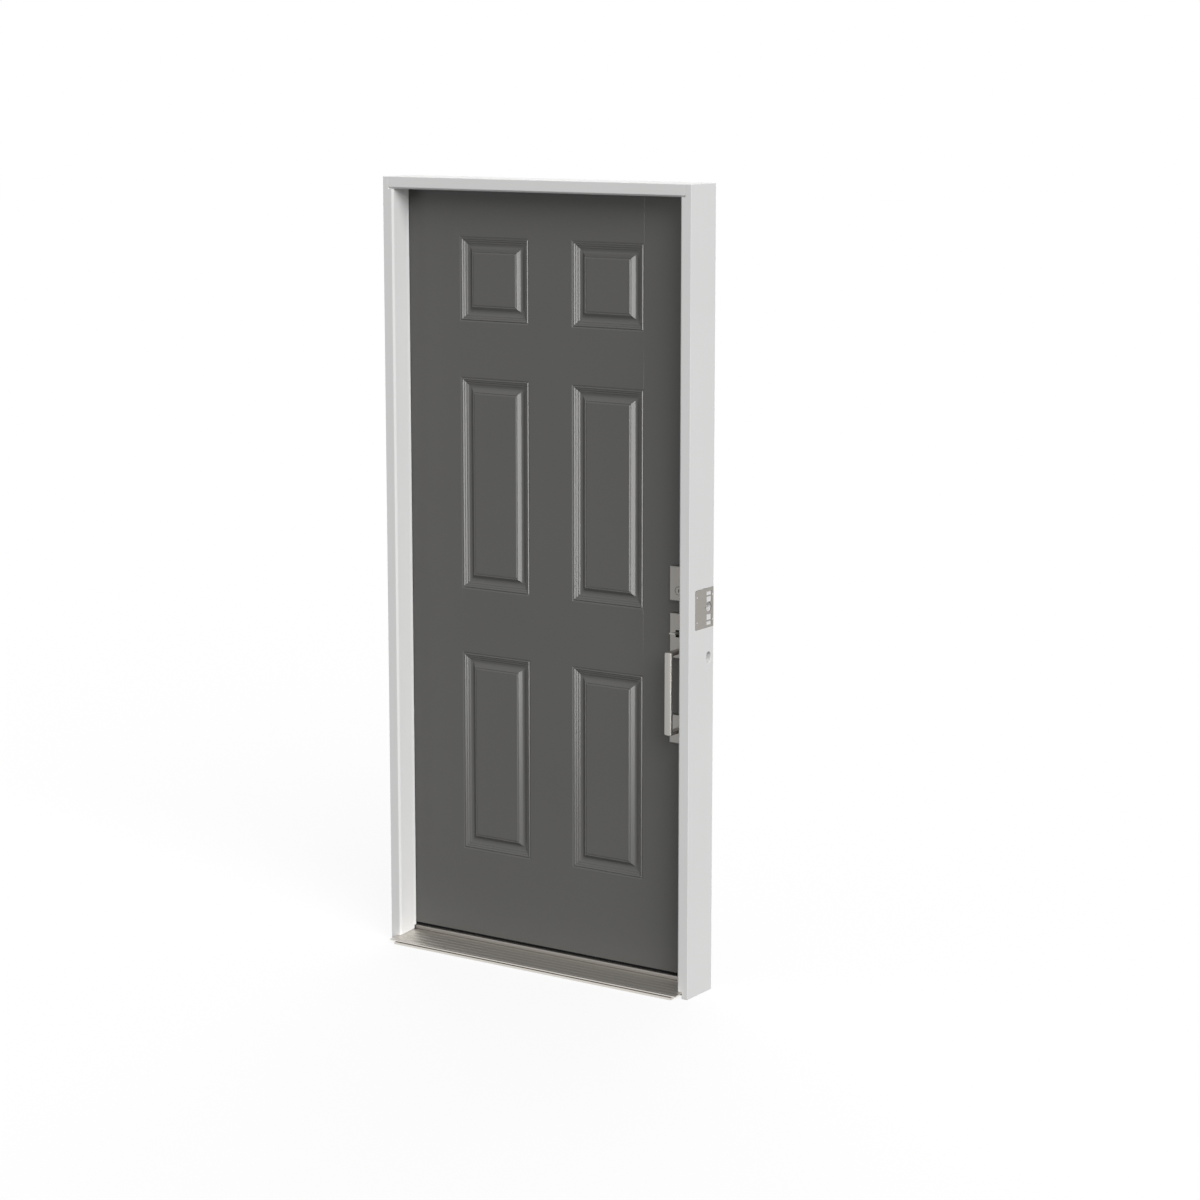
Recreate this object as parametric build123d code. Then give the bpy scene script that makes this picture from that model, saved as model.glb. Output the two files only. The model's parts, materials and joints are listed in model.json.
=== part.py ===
from build123d import *
import os
from math import cos, radians, tan

# Pre-hung fiberglass front door: rabbeted frame, ribbed sill, moulded six-panel slab, hinges and lock set.
# Millimetres. X runs from the hinge side to the lock side, Y into the building and Z up.
# The origin is on the underside of the sill, at mid-width and at the middle of the frame's depth.

# Frame
FRAME_WIDTH = 952.5
FRAME_HEIGHT = 2070.0
FRAME_DEPTH = 116.0
JAMB_THICKNESS = 31.75
STOP_STEP = 14.5
RABBET_WIDTH = 54.5
FRONT_BEVEL = 4.5

# Seals in the rabbet
SEAL_GAP = 1.0
SEAL_INSET = 0.3
SEAL_ROUND = 3.0

# Sill
SILL_PROJECTION = 30.0
SILL_FRONT_HEIGHT = 14.0
SILL_SLOPE = 5.5
DECK_SHEET = 2.5
RIB_COUNT = 9
RIB_WIDTH = 4.5
RIB_HEIGHT = 1.0
NOSE_WALL = 5.0
NOSE_LIP = 3.0
NOSE_GROOVE_HEIGHT = 3.5
NOSE_GROOVE_DEPTH = 2.5
NOSE_CLEARANCE = 2.0
SUBSTRATE_SETBACK = 25.0
DECK_OVERRUN = 1.5
CAP_GROOVE = 1.5
CAP_TOP = 33.5
CAP_ROUND = 3.0
CAP_REAR_DROP = 6.0
CAP_REAR_RUN = 9.0

# Slab
SLAB_THICKNESS = 44.5
EDGE_GAP = 5.0
LOCK_EDGE_BEVEL = 3.0
SKIN = 3.0
HINGE_STILE = 32.0
LOCK_STILE = 45.0
TOP_RAIL_BLOCK = 32.0
BOTTOM_RAIL_BLOCK = 40.0
SWEEP_GAP = 5.0
SWEEP_BASE = 1.0
SWEEP_FIN_HEIGHT = 1.5
SWEEP_FIN_WIDTH = 2.0
SWEEP_FIN_COUNT = 4
SWEEP_INSET = 4.0

# Panel layout on both skins, rows counted from the top
PANEL_WIDTH = 220.75
MULLION_WIDTH = 133.5
LAYOUT_SHIFT = 6.0
TOP_RAIL_HEIGHT = 130.0
TOP_PANEL_HEIGHT = 223.0
UPPER_RAIL_HEIGHT = 145.0
LOCK_RAIL_HEIGHT = 170.5
BOTTOM_PANEL_HEIGHT = 541.0
BOTTOM_RAIL_HEIGHT = 231.75

# Panel moulding, from the border inwards
QUIRK_WIDTH = 5.0
QUIRK_DEPTH = 2.2
QUIRK_RETURN = 0.5
STEP_RADII = (3.5, 4.0, 3.5)
STEP_FLATS = (3.0, 3.0, 6.0)
RAMP_WIDTH = 23.0
FIELD_DROP = 0.5
FIELD_MARGIN = 6.0
RIB_BACK_INSET = 6.0
CORE_CLEARANCE = 0.3
JOINT_LINE_WIDTH = 1.4
JOINT_LINE_DEPTH = 0.8
CUT_LIFT = 1.0

# Hinges
HINGE_HEIGHT = 101.6
HINGE_TOP_INSET = 220.0
HINGE_BOTTOM_INSET = 221.0
LEAF_WIDTH = 38.0
LEAF_SHEET = 2.5
LEAF_CORNER = 6.0
KNUCKLE_RADIUS = 6.5
KNUCKLE_COUNT = 3
KNUCKLE_GAP = 0.4
KNUCKLE_CLEARANCE = 0.5
PIN_RADIUS = 3.5
PIN_CLEARANCE = 0.05
PIN_CAP_RADIUS = 5.5
PIN_CAP_HEIGHT = 3.0

# Lock set on the outside, its heights counted from the latch
LATCH_HEIGHT = 878.0
LOCK_BACKSET = 45.0
PLATE_WIDTH = 60.0
PLATE_CHAMFER = 3.5
LOCK_COVER_SPACING = 31.0
LOCK_COVER_HEIGHT = 90.0
LOCK_COVER_DEPTH = 13.0
KEY_RISE = 28.0
KEY_RADIUS = 10.0
KEY_PROUD = 1.5
KEY_SLOT = (2.0, 8.5)
KEY_SLOT_DEPTH = 4.0
HANDLE_PLATE_DROP = 7.0
HANDLE_PLATE_HEIGHT = 117.0
HANDLE_PLATE_DEPTH = 12.0
FOOT_PLATE_DROP = 31.0
FOOT_PLATE_HEIGHT = 75.0
GRIP_WIDTH = 19.5
GRIP_BAR = 10.0
GRIP_REACH = 65.0
GRIP_HEIGHT = 216.0
GRIP_OVERLAP = 26.0
GRIP_CORNER = 9.0
GRIP_ARCH = 8.0
GRIP_EDGE = 1.5
HARDWARE_CLEARANCE = 0.2

# Thumb piece
THUMB_RISE = 67.0
THUMB_WIDTH = 18.0
THUMB_SHEET = 4.0
THUMB_LENGTH = 24.0
THUMB_CURL_LENGTH = 14.0
THUMB_CURL_RISE = 4.0
THUMB_PIVOT_DEPTH = 6.0
THUMB_BOSS_RADIUS = 3.5
THUMB_SIDE_GAP = 1.0
THUMB_SLOT_ABOVE = 7.0
THUMB_SLOT_BELOW = 11.0
TRUNNION_RADIUS = 2.0
TRUNNION_SEAT = 4.0

# Lock set on the inside and in the slab's edge
BOLT_SPACING = 130.0
BOLT_RADIUS = 11.0
LATCH_RADIUS = 9.0
BOLT_LENGTH = 36.0
FACEPLATE_WIDTH = 25.0
FACEPLATE_HEIGHT = 57.0
FACEPLATE_SHEET = 2.5
INSIDE_COVER_WIDTH = 62.0
INSIDE_COVER_HEIGHT = 128.0
INSIDE_COVER_DEPTH = 22.0
INSIDE_COVER_CHAMFER = 5.0
TURN_RADIUS = 9.0
TURN_STEM = 8.0
TURN_LENGTH = 40.0
TURN_THICKNESS = 9.0
TURN_DEPTH = 14.0
TURN_CHAMFER = 3.0
ROSE_WIDTH = 60.0
ROSE_DEPTH = 9.0
LEVER_NECK_RADIUS = 10.0
LEVER_STANDOFF = 36.0
LEVER_LENGTH = 118.0
LEVER_HEIGHT = 20.0
LEVER_DEPTH = 11.0
LEVER_EDGE = 2.5

# Strikes in the lock-side jamb
STRIKE_SHEET = 2.0
STRIKE_WIDTH = 30.0
STRIKE_HEIGHT = 70.0
STRIKE_CORNER = 5.0
LATCH_HOLE_WIDTH = 20.0
LATCH_HOLE_HEIGHT = 29.0
BOLT_HOLE_RADIUS = 12.2
BACKING_WIDTH = 86.0
BACKING_DROP = 52.5
BACKING_HEIGHT = 101.5
BACKING_CORNER = 5.0
BACKING_SCREW_RADIUS = 2.2
BACKING_SCREW_INSET_Y = 8.7
BACKING_SCREW_INSET_Z = 18.8
BACKING_REAR_INSET = 4.5
WINDOW_REAR_INSET = 10.0
WINDOW_WIDTH = 23.0
WINDOW_SPANS = ((6.3, 16.3), (19.5, 34.9), (65.9, 80.5), (82.9, 93.3))
CONTACT_HOLE_RADIUS = 2.0
CONTACT_HOLE_OFFSET = 17.5

# Places that follow from the sizes above
Y_OUT = -FRAME_DEPTH / 2
Y_IN = FRAME_DEPTH / 2
Y_STOP = Y_IN - RABBET_WIDTH
JAMB_X = FRAME_WIDTH / 2
STOP_X = JAMB_X - JAMB_THICKNESS
RABBET_X = STOP_X + STOP_STEP
HEAD_UNDERSIDE = FRAME_HEIGHT - JAMB_THICKNESS
HEAD_RABBET = HEAD_UNDERSIDE + STOP_STEP
SLAB_X = RABBET_X - EDGE_GAP
SLAB_TOP = HEAD_RABBET - EDGE_GAP
SWEEP_HEIGHT = SWEEP_BASE + SWEEP_FIN_HEIGHT
SLAB_BOTTOM = CAP_TOP + SWEEP_GAP + SWEEP_HEIGHT
FACE_Y = Y_IN - SLAB_THICKNESS
SLAB_MID_Y = (FACE_Y + Y_IN) / 2
CORE_FRONT = FACE_Y + SKIN
CORE_BACK = Y_IN - SKIN
NOSE_Y = Y_OUT - SILL_PROJECTION
DECK_BACK = Y_STOP + DECK_OVERRUN
CAP_FRONT = DECK_BACK + CAP_GROOVE
HINGE_X = -(RABBET_X + SLAB_X) / 2
UPPER_HINGE = SLAB_TOP - HINGE_TOP_INSET
LOWER_HINGE = SLAB_BOTTOM + HINGE_BOTTOM_INSET
HINGE_HEIGHTS = (UPPER_HINGE, (UPPER_HINGE + LOWER_HINGE) / 2, LOWER_HINGE)
HINGE_Y = Y_IN + KNUCKLE_RADIUS + KNUCKLE_CLEARANCE
LOCK_X = SLAB_X - LOCK_BACKSET
BOLT_HEIGHT = LATCH_HEIGHT + BOLT_SPACING
HANDLE_PLATE_BOTTOM = LATCH_HEIGHT - HANDLE_PLATE_DROP
HANDLE_PLATE_TOP = HANDLE_PLATE_BOTTOM + HANDLE_PLATE_HEIGHT
LOCK_COVER_BOTTOM = HANDLE_PLATE_TOP + LOCK_COVER_SPACING
KEY_HEIGHT = LOCK_COVER_BOTTOM + KEY_RISE
THUMB_HEIGHT = HANDLE_PLATE_BOTTOM + THUMB_RISE
GRIP_TOP = HANDLE_PLATE_BOTTOM + GRIP_OVERLAP
GRIP_BOTTOM = GRIP_TOP - GRIP_HEIGHT
FOOT_PLATE_BOTTOM = GRIP_BOTTOM - FOOT_PLATE_DROP
BACKING_BOTTOM = BOLT_HEIGHT - BACKING_DROP
PLATE_SPAN = (LOCK_X - PLATE_WIDTH / 2, LOCK_X + PLATE_WIDTH / 2)
MOULDING_DEPTH = QUIRK_RETURN + sum(STEP_RADII)
MOULDING_WIDTH = QUIRK_WIDTH + sum(STEP_RADII) + sum(STEP_FLATS) + RAMP_WIDTH
THUMB_Y = FACE_Y - THUMB_PIVOT_DEPTH
WEATHER_FACE = Plane((0, FACE_Y, 0), x_dir=(1, 0, 0), z_dir=(0, -1, 0))
SLAB_MIRROR = Plane((0, SLAB_MID_Y, 0), x_dir=(1, 0, 0), z_dir=(0, -1, 0))
FRAME_LEAF_X = (-RABBET_X - LEAF_SHEET, -RABBET_X)
DOOR_LEAF_X = (-SLAB_X, -SLAB_X + LEAF_SHEET)


def deck_height(y):
    """Height of the sloping sill deck, without its ribs, at a depth y."""
    return SILL_FRONT_HEIGHT + (y - NOSE_Y) * tan(radians(SILL_SLOPE))


def block(x, y, z):
    """Box between the low and high ends of three spans."""
    sizes = [high - low for low, high in (x, y, z)]
    return Pos(x[0], y[0], z[0]) * Box(*sizes, align=(Align.MIN, Align.MIN, Align.MIN))


def outline(points):
    """Flat face inside a closed run of straight lines."""
    return make_face(Polyline(*points, close=True))


def along_x(section, x):
    """Carry a section drawn in depth and height across a span of X."""
    low, high = x
    return extrude(Plane.YZ.offset(low) * section, high - low, dir=(1, 0, 0))


def along_z(section, z):
    """Carry a section drawn in plan up a span of Z."""
    low, high = z
    return extrude(Plane.XY.offset(low) * section, high - low, dir=(0, 0, 1))


def rod_x(radius, x, y, z):
    """Round bar along X between two ends."""
    return along_x(Pos(y, z) * Circle(radius), x)


def rod_z(radius, x, y, z):
    """Round bar along Z between two heights."""
    return along_z(Pos(x, y) * Circle(radius), z)


def span(middle, width):
    """Low and high ends of a width about its middle."""
    return (middle - width / 2, middle + width / 2)


# Frame pieces


def jamb(side):
    """Rabbeted side jamb: the thin leg runs full height, the stop sits between sill and head."""
    section = outline(
        [
            (side * JAMB_X, Y_OUT),
            (side * (STOP_X + FRONT_BEVEL), Y_OUT),
            (side * STOP_X, Y_OUT + FRONT_BEVEL),
            (side * STOP_X, Y_STOP),
            (side * RABBET_X, Y_STOP),
            (side * RABBET_X, Y_IN),
            (side * JAMB_X, Y_IN),
        ]
    )
    body = along_z(section, (0, FRAME_HEIGHT))
    inner = sorted((side * (STOP_X - CUT_LIFT), side * RABBET_X))
    head_notch = block(inner, (Y_OUT - CUT_LIFT, Y_STOP), (HEAD_UNDERSIDE, FRAME_HEIGHT + CUT_LIFT))
    rib_top = RIB_HEIGHT / cos(radians(SILL_SLOPE))
    cope = outline(
        [
            (Y_OUT - CUT_LIFT, -CUT_LIFT),
            (Y_STOP, -CUT_LIFT),
            (Y_STOP, deck_height(Y_STOP) + rib_top),
            (Y_OUT - CUT_LIFT, deck_height(Y_OUT - CUT_LIFT) + rib_top),
        ]
    )
    return body - head_notch - along_x(cope, inner)


def head_jamb():
    """Rabbeted head between the two thin legs."""
    section = outline(
        [
            (Y_OUT, FRAME_HEIGHT),
            (Y_OUT, HEAD_UNDERSIDE + FRONT_BEVEL),
            (Y_OUT + FRONT_BEVEL, HEAD_UNDERSIDE),
            (Y_STOP, HEAD_UNDERSIDE),
            (Y_STOP, HEAD_RABBET),
            (Y_IN, HEAD_RABBET),
            (Y_IN, FRAME_HEIGHT),
        ]
    )
    return along_x(section, (-RABBET_X, RABBET_X))


def seal_section():
    """Bulb seal: flat against stop and leg, rounded towards the slab. Drawn as width by depth."""
    width = STOP_STEP - SEAL_INSET
    depth = FACE_Y - SEAL_GAP - Y_STOP
    section = Rectangle(width, depth, align=(Align.MIN, Align.MIN))
    return fillet(section.vertices().group_by(Axis.Y)[-1], SEAL_ROUND)


def side_seal(side):
    """Seal down one side, standing on the threshold cap."""
    section = Pos(STOP_X + SEAL_INSET, Y_STOP) * seal_section()
    seal = along_z(section, (CAP_TOP, HEAD_RABBET))
    return seal if side > 0 else mirror(seal, Plane.YZ)


def head_seal():
    """Seal under the head, between the side seals."""
    section = Plane.YZ.offset(-STOP_X) * (Pos(Y_STOP, HEAD_RABBET) * Rot(0, 0, -90) * seal_section())
    return extrude(section, STOP_X * 2, dir=(1, 0, 0))


# Sill pieces


def sill_deck():
    """Ribbed aluminium deck, open underneath in front; its grooved nose ends level with the stops."""
    lip = SILL_FRONT_HEIGHT - NOSE_LIP
    groove = lip - NOSE_GROOVE_HEIGHT
    groove_back = NOSE_Y + NOSE_GROOVE_DEPTH
    wall_back = NOSE_Y + NOSE_WALL
    section = outline(
        [
            (NOSE_Y, SILL_FRONT_HEIGHT),
            (NOSE_Y, lip),
            (groove_back, lip),
            (groove_back, groove),
            (NOSE_Y, groove),
            (NOSE_Y, NOSE_CLEARANCE),
            (wall_back, NOSE_CLEARANCE),
            (wall_back, deck_height(wall_back) - DECK_SHEET),
            (DECK_BACK, deck_height(DECK_BACK) - DECK_SHEET),
            (DECK_BACK, deck_height(DECK_BACK)),
        ]
    )
    pitch = (DECK_BACK - NOSE_Y) / (RIB_COUNT + 1)
    for index in range(RIB_COUNT):
        y = NOSE_Y + pitch * (index + 1)
        section += Pos(y, deck_height(y)) * Rot(0, 0, SILL_SLOPE) * Rectangle(RIB_WIDTH, RIB_HEIGHT * 2)
    deck = along_x(section, (-RABBET_X, RABBET_X))
    nose_depth = (NOSE_Y - CUT_LIFT, wall_back + CUT_LIFT)
    for end in ((-RABBET_X - CUT_LIFT, -STOP_X), (STOP_X, RABBET_X + CUT_LIFT)):
        deck -= block(end, nose_depth, (0, lip))
    return deck


def sill_substrate():
    """Base block under the deck and the cap, set back from the nose."""
    front = Y_OUT + SUBSTRATE_SETBACK
    section = outline(
        [
            (front, 0),
            (Y_IN, 0),
            (Y_IN, deck_height(DECK_BACK) - DECK_SHEET),
            (DECK_BACK, deck_height(DECK_BACK) - DECK_SHEET),
            (front, deck_height(front) - DECK_SHEET),
        ]
    )
    return along_x(section, (-RABBET_X, RABBET_X))


def threshold_cap():
    """Cap under the slab: rounded in front, sloped off towards the room."""
    seat = deck_height(DECK_BACK) - DECK_SHEET
    section = outline(
        [
            (CAP_FRONT, seat),
            (CAP_FRONT, CAP_TOP),
            (Y_IN - CAP_REAR_RUN, CAP_TOP),
            (Y_IN, CAP_TOP - CAP_REAR_DROP),
            (Y_IN, seat),
        ]
    )
    front_edge = section.vertices().group_by(Axis.X)[0].sort_by(Axis.Y)[-1]
    return along_x(fillet(front_edge, CAP_ROUND), (-RABBET_X, RABBET_X))


# Slab pieces


def slab_outline():
    """Whole slab as one prism: square at the hinge edge, bevelled at the lock edge."""
    bevel = SLAB_THICKNESS * tan(radians(LOCK_EDGE_BEVEL))
    section = outline([(-SLAB_X, FACE_Y), (SLAB_X - bevel, FACE_Y), (SLAB_X, Y_IN), (-SLAB_X, Y_IN)])
    return along_z(section, (SLAB_BOTTOM, SLAB_TOP))


def panel_rows():
    """Top and bottom of each row of panels; the middle row takes the height that is left."""
    upper = SLAB_TOP - TOP_RAIL_HEIGHT
    upper_end = upper - TOP_PANEL_HEIGHT
    lower_end = SLAB_BOTTOM + BOTTOM_RAIL_HEIGHT
    lower = lower_end + BOTTOM_PANEL_HEIGHT
    middle = (upper_end - UPPER_RAIL_HEIGHT, lower + LOCK_RAIL_HEIGHT)
    return [(upper, upper_end), middle, (lower, lower_end)]


def panel_columns():
    """Middle of each column of panels."""
    offset = (MULLION_WIDTH + PANEL_WIDTH) / 2
    return (LAYOUT_SHIFT - offset, LAYOUT_SHIFT + offset)


def moulding_section():
    """Moulding as (inward, outward): quirk, three rounded steps, floor, then an ogee up to the field."""
    inward = QUIRK_WIDTH
    level = -QUIRK_RETURN
    edges = Polyline((0, CUT_LIFT), (0, 0), (QUIRK_WIDTH / 2, -QUIRK_DEPTH), (inward, level))
    for radius, flat in zip(STEP_RADII, STEP_FLATS):
        edges += TangentArc((inward, level), (inward + radius, level - radius), tangent=(1, 0))
        inward += radius
        level -= radius
        edges += Line((inward, level), (inward + flat, level))
        inward += flat
    middle = (inward + RAMP_WIDTH / 2, (level - FIELD_DROP) / 2)
    field = (inward + RAMP_WIDTH, -FIELD_DROP)
    margin = field[0] + FIELD_MARGIN
    edges += TangentArc((inward, level), middle, tangent=(1, 0))
    edges += TangentArc(field, middle, tangent=(-1, 0))
    edges += Polyline(field, (margin, -FIELD_DROP), (margin, CUT_LIFT), (0, CUT_LIFT))
    return make_face(edges)


def panel_cut(x, top, bottom):
    """Moulding carried round one panel with mitred corners, and the shallow drop of its field."""
    low, high = span(x, PANEL_WIDTH)
    path = Polyline((x, bottom), (high, bottom), (high, top), (low, top), (low, bottom), close=True)
    section = Plane((x, bottom, 0), x_dir=(0, 1, 0), z_dir=(1, 0, 0)) * moulding_section()
    ring = sweep(section, path=path, transition=Transition.RIGHT)
    inset = MOULDING_WIDTH + FIELD_MARGIN / 2
    field = block((low + inset, high - inset), (bottom + inset, top - inset), (-FIELD_DROP, CUT_LIFT))
    return ring + field


def panel_backs(clearance):
    """Ribs behind the mouldings of all panels, on the back of a skin."""
    depth = MOULDING_DEPTH + SKIN + clearance
    inner = MOULDING_WIDTH - RIB_BACK_INSET + clearance
    backs = []
    for top, bottom in panel_rows():
        for x in panel_columns():
            low, high = span(x, PANEL_WIDTH)
            outer = block(
                (low - clearance, high + clearance), (bottom - clearance, top + clearance), (-depth, -SKIN)
            )
            inside = block((low + inner, high - inner), (bottom + inner, top - inner), (-depth, -SKIN))
            backs.append(outer - inside)
    return backs


def joint_lines():
    """Fine grooves that carry the outer panel borders up to the slab's top edge."""
    rows = panel_rows()
    spans = [(rows[0][0], SLAB_TOP + CUT_LIFT)]
    spans += [(lower[0], upper[1]) for upper, lower in zip(rows, rows[1:])]
    first, last = panel_columns()
    section = outline([(-JOINT_LINE_WIDTH / 2, 0), (JOINT_LINE_WIDTH / 2, 0), (0, -JOINT_LINE_DEPTH)])
    lines = []
    for x in (first - PANEL_WIDTH / 2, last + PANEL_WIDTH / 2):
        for low, high in spans:
            place = Plane((x, low, 0), x_dir=(1, 0, 0), z_dir=(0, -1, 0))
            lines.append(extrude(place * section, high - low, dir=(0, 1, 0)))
    return lines


def moulded_skin():
    """Moulded sheet, drawn flat with its face upwards and then stood on the weather side."""
    sheet = block((-SLAB_X, SLAB_X), (SLAB_BOTTOM, SLAB_TOP), (-SKIN, 0))
    sheet += panel_backs(0)
    cuts = [panel_cut(x, top, bottom) for top, bottom in panel_rows() for x in panel_columns()]
    return WEATHER_FACE * (sheet - cuts - joint_lines())


def slab_skins():
    """Skin of the weather side and its mirror image on the room side."""
    outside = moulded_skin()
    inside = mirror(outside, SLAB_MIRROR)
    whole = slab_outline()
    return outside & whole, inside & whole


def foam_core():
    """Foam block between the stiles and rails, hollowed for the ribs behind the mouldings."""
    core = block(
        (-SLAB_X + HINGE_STILE, SLAB_X - LOCK_STILE),
        (CORE_FRONT, CORE_BACK),
        (SLAB_BOTTOM + BOTTOM_RAIL_BLOCK, SLAB_TOP - TOP_RAIL_BLOCK),
    )
    ribs = [WEATHER_FACE * rib for rib in panel_backs(CORE_CLEARANCE)]
    return core - ribs - [mirror(rib, SLAB_MIRROR) for rib in ribs]


def door_sweep():
    """Vinyl sweep under the slab, with fins along its length."""
    front = FACE_Y + SWEEP_INSET
    back = Y_IN - SWEEP_INSET
    section = Pos(front, SLAB_BOTTOM - SWEEP_BASE) * Rectangle(
        back - front, SWEEP_BASE, align=(Align.MIN, Align.MIN)
    )
    pitch = (back - front - SWEEP_FIN_WIDTH) / (SWEEP_FIN_COUNT - 1)
    for index in range(SWEEP_FIN_COUNT):
        place = Pos(front + pitch * index, SLAB_BOTTOM - SWEEP_HEIGHT)
        section += place * Rectangle(SWEEP_FIN_WIDTH, SWEEP_HEIGHT, align=(Align.MIN, Align.MIN))
    bevel = SLAB_THICKNESS * tan(radians(LOCK_EDGE_BEVEL))
    return along_x(section, (-SLAB_X + SWEEP_INSET, SLAB_X - bevel - SWEEP_INSET))


# Hinges


def hinge_span(height):
    """Bottom and top of a hinge about its middle height."""
    return span(height, HINGE_HEIGHT)


def leaf_plate(x, height):
    """Flat of a hinge leaf, let in flush, with its two far corners rounded."""
    plate = block(x, (Y_IN - LEAF_WIDTH, Y_IN), hinge_span(height))
    far_edges = plate.edges().filter_by(Axis.X).group_by(Axis.Y)[0]
    return fillet(far_edges, LEAF_CORNER)


def hinge_leaf(x, height, first):
    """Leaf with a neck and a knuckle at every second place from the given one."""
    bottom, top = hinge_span(height)
    pitch = HINGE_HEIGHT / KNUCKLE_COUNT
    leaf = leaf_plate(x, height)
    for index in range(first, KNUCKLE_COUNT, 2):
        low = bottom + pitch * index + KNUCKLE_GAP / 2
        high = bottom + pitch * (index + 1) - KNUCKLE_GAP / 2
        leaf += block(x, (Y_IN, HINGE_Y), (low, high))
        leaf += rod_z(KNUCKLE_RADIUS, HINGE_X, HINGE_Y, (low, high))
    return leaf - rod_z(PIN_RADIUS + PIN_CLEARANCE, HINGE_X, HINGE_Y, (bottom, top))


def hinge_pin(height):
    """Loose pin with a button at each end."""
    bottom, top = hinge_span(height)
    pin = rod_z(PIN_RADIUS, HINGE_X, HINGE_Y, (bottom, top))
    pin += rod_z(PIN_CAP_RADIUS, HINGE_X, HINGE_Y, (top, top + PIN_CAP_HEIGHT))
    return pin + rod_z(PIN_CAP_RADIUS, HINGE_X, HINGE_Y, (bottom - PIN_CAP_HEIGHT, bottom))


# Lock set


def outside_plate(z, depth):
    """Plate on the weather face with a chamfered border."""
    plate = block(PLATE_SPAN, (FACE_Y - depth, FACE_Y), z)
    rim = plate.faces().sort_by(Axis.Y)[0].edges()
    return chamfer(rim, PLATE_CHAMFER)


def lock_cover():
    """Cover of the dead bolt, bored for the key cylinder."""
    cover = outside_plate((LOCK_COVER_BOTTOM, LOCK_COVER_BOTTOM + LOCK_COVER_HEIGHT), LOCK_COVER_DEPTH)
    return cover - key_barrel(KEY_RADIUS + HARDWARE_CLEARANCE, LOCK_COVER_DEPTH + CUT_LIFT)


def key_barrel(radius, depth):
    """Round barrel standing out of the weather face at the key's place."""
    return Pos(LOCK_X, FACE_Y, KEY_HEIGHT) * Rot(90, 0, 0) * extrude(Circle(radius), depth)


def key_cylinder():
    """Key cylinder with a slot for the key."""
    depth = LOCK_COVER_DEPTH + KEY_PROUD
    front = FACE_Y - depth
    width, height = KEY_SLOT
    slot = block(
        span(LOCK_X, width), (front - CUT_LIFT, front + KEY_SLOT_DEPTH), span(KEY_HEIGHT, height)
    )
    return key_barrel(KEY_RADIUS, depth) - slot


def handle_plate():
    """Upper plate of the handle, slotted for the thumb piece and bored for its trunnions."""
    plate = outside_plate((HANDLE_PLATE_BOTTOM, HANDLE_PLATE_TOP), HANDLE_PLATE_DEPTH)
    slot_width = THUMB_WIDTH + THUMB_SIDE_GAP * 2
    slot = block(
        span(LOCK_X, slot_width),
        (FACE_Y - HANDLE_PLATE_DEPTH - CUT_LIFT, FACE_Y + CUT_LIFT),
        (THUMB_HEIGHT - THUMB_SLOT_BELOW, THUMB_HEIGHT + THUMB_SLOT_ABOVE),
    )
    seat = span(LOCK_X, slot_width + TRUNNION_SEAT * 2)
    return plate - slot - rod_x(TRUNNION_RADIUS + PIN_CLEARANCE, seat, THUMB_Y, THUMB_HEIGHT)


def thumb_piece():
    """Thumb lever curled up at its tip, on a boss with two trunnions."""
    flat_end = (THUMB_Y - THUMB_LENGTH, THUMB_HEIGHT)
    tip = (flat_end[0] - THUMB_CURL_LENGTH, THUMB_HEIGHT + THUMB_CURL_RISE)
    centre = Line((THUMB_Y, THUMB_HEIGHT), flat_end)
    centre += TangentArc(flat_end, tip, tangent=(-1, 0))
    blade = make_face(offset(centre, THUMB_SHEET / 2, side=Side.BOTH).edges())
    lever = along_x(blade, span(LOCK_X, THUMB_WIDTH))
    lever += rod_x(THUMB_BOSS_RADIUS, span(LOCK_X, THUMB_WIDTH), THUMB_Y, THUMB_HEIGHT)
    reach = THUMB_WIDTH + (THUMB_SIDE_GAP + TRUNNION_SEAT - HARDWARE_CLEARANCE) * 2
    return lever + rod_x(TRUNNION_RADIUS, span(LOCK_X, reach), THUMB_Y, THUMB_HEIGHT)


def grip():
    """Squared pull: an upright bar with an arm back to the plate at each end, arched inside the corners."""
    front = FACE_Y - GRIP_REACH
    inner = front + GRIP_BAR
    back = FACE_Y - HANDLE_PLATE_DEPTH
    section = outline(
        [
            (back, GRIP_BOTTOM),
            (front, GRIP_BOTTOM),
            (front, GRIP_TOP),
            (back, GRIP_TOP),
            (back, GRIP_TOP - GRIP_BAR),
            (inner, GRIP_TOP - GRIP_BAR),
            (inner, GRIP_BOTTOM + GRIP_BAR),
            (back, GRIP_BOTTOM + GRIP_BAR),
        ]
    )
    outer = section.vertices().group_by(Axis.X)[0]
    section = fillet(outer, GRIP_CORNER)
    section = fillet(section.vertices().filter_by_position(Axis.X, inner, inner), GRIP_ARCH)
    pull = along_x(section, span(LOCK_X, GRIP_WIDTH))
    sides = pull.faces().filter_by(Axis.X)
    rims = [edge for face in sides for edge in face.edges() if edge.bounding_box().min.Y < back - CUT_LIFT]
    return chamfer(rims, GRIP_EDGE)


def grip_foot_plate():
    """Lower plate that carries the foot of the grip."""
    return outside_plate((FOOT_PLATE_BOTTOM, FOOT_PLATE_BOTTOM + FOOT_PLATE_HEIGHT), HANDLE_PLATE_DEPTH)


def room_plate(width, depth, z, border):
    """Plate on the room face of the slab with a chamfered border."""
    plate = block(span(LOCK_X, width), (Y_IN, Y_IN + depth), z)
    rim = plate.faces().sort_by(Axis.Y)[-1].edges()
    return chamfer(rim, border)


def inside_lock_cover():
    """Housing of the dead bolt on the room side."""
    height = span(BOLT_HEIGHT, INSIDE_COVER_HEIGHT)
    return room_plate(INSIDE_COVER_WIDTH, INSIDE_COVER_DEPTH, height, INSIDE_COVER_CHAMFER)


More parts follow.
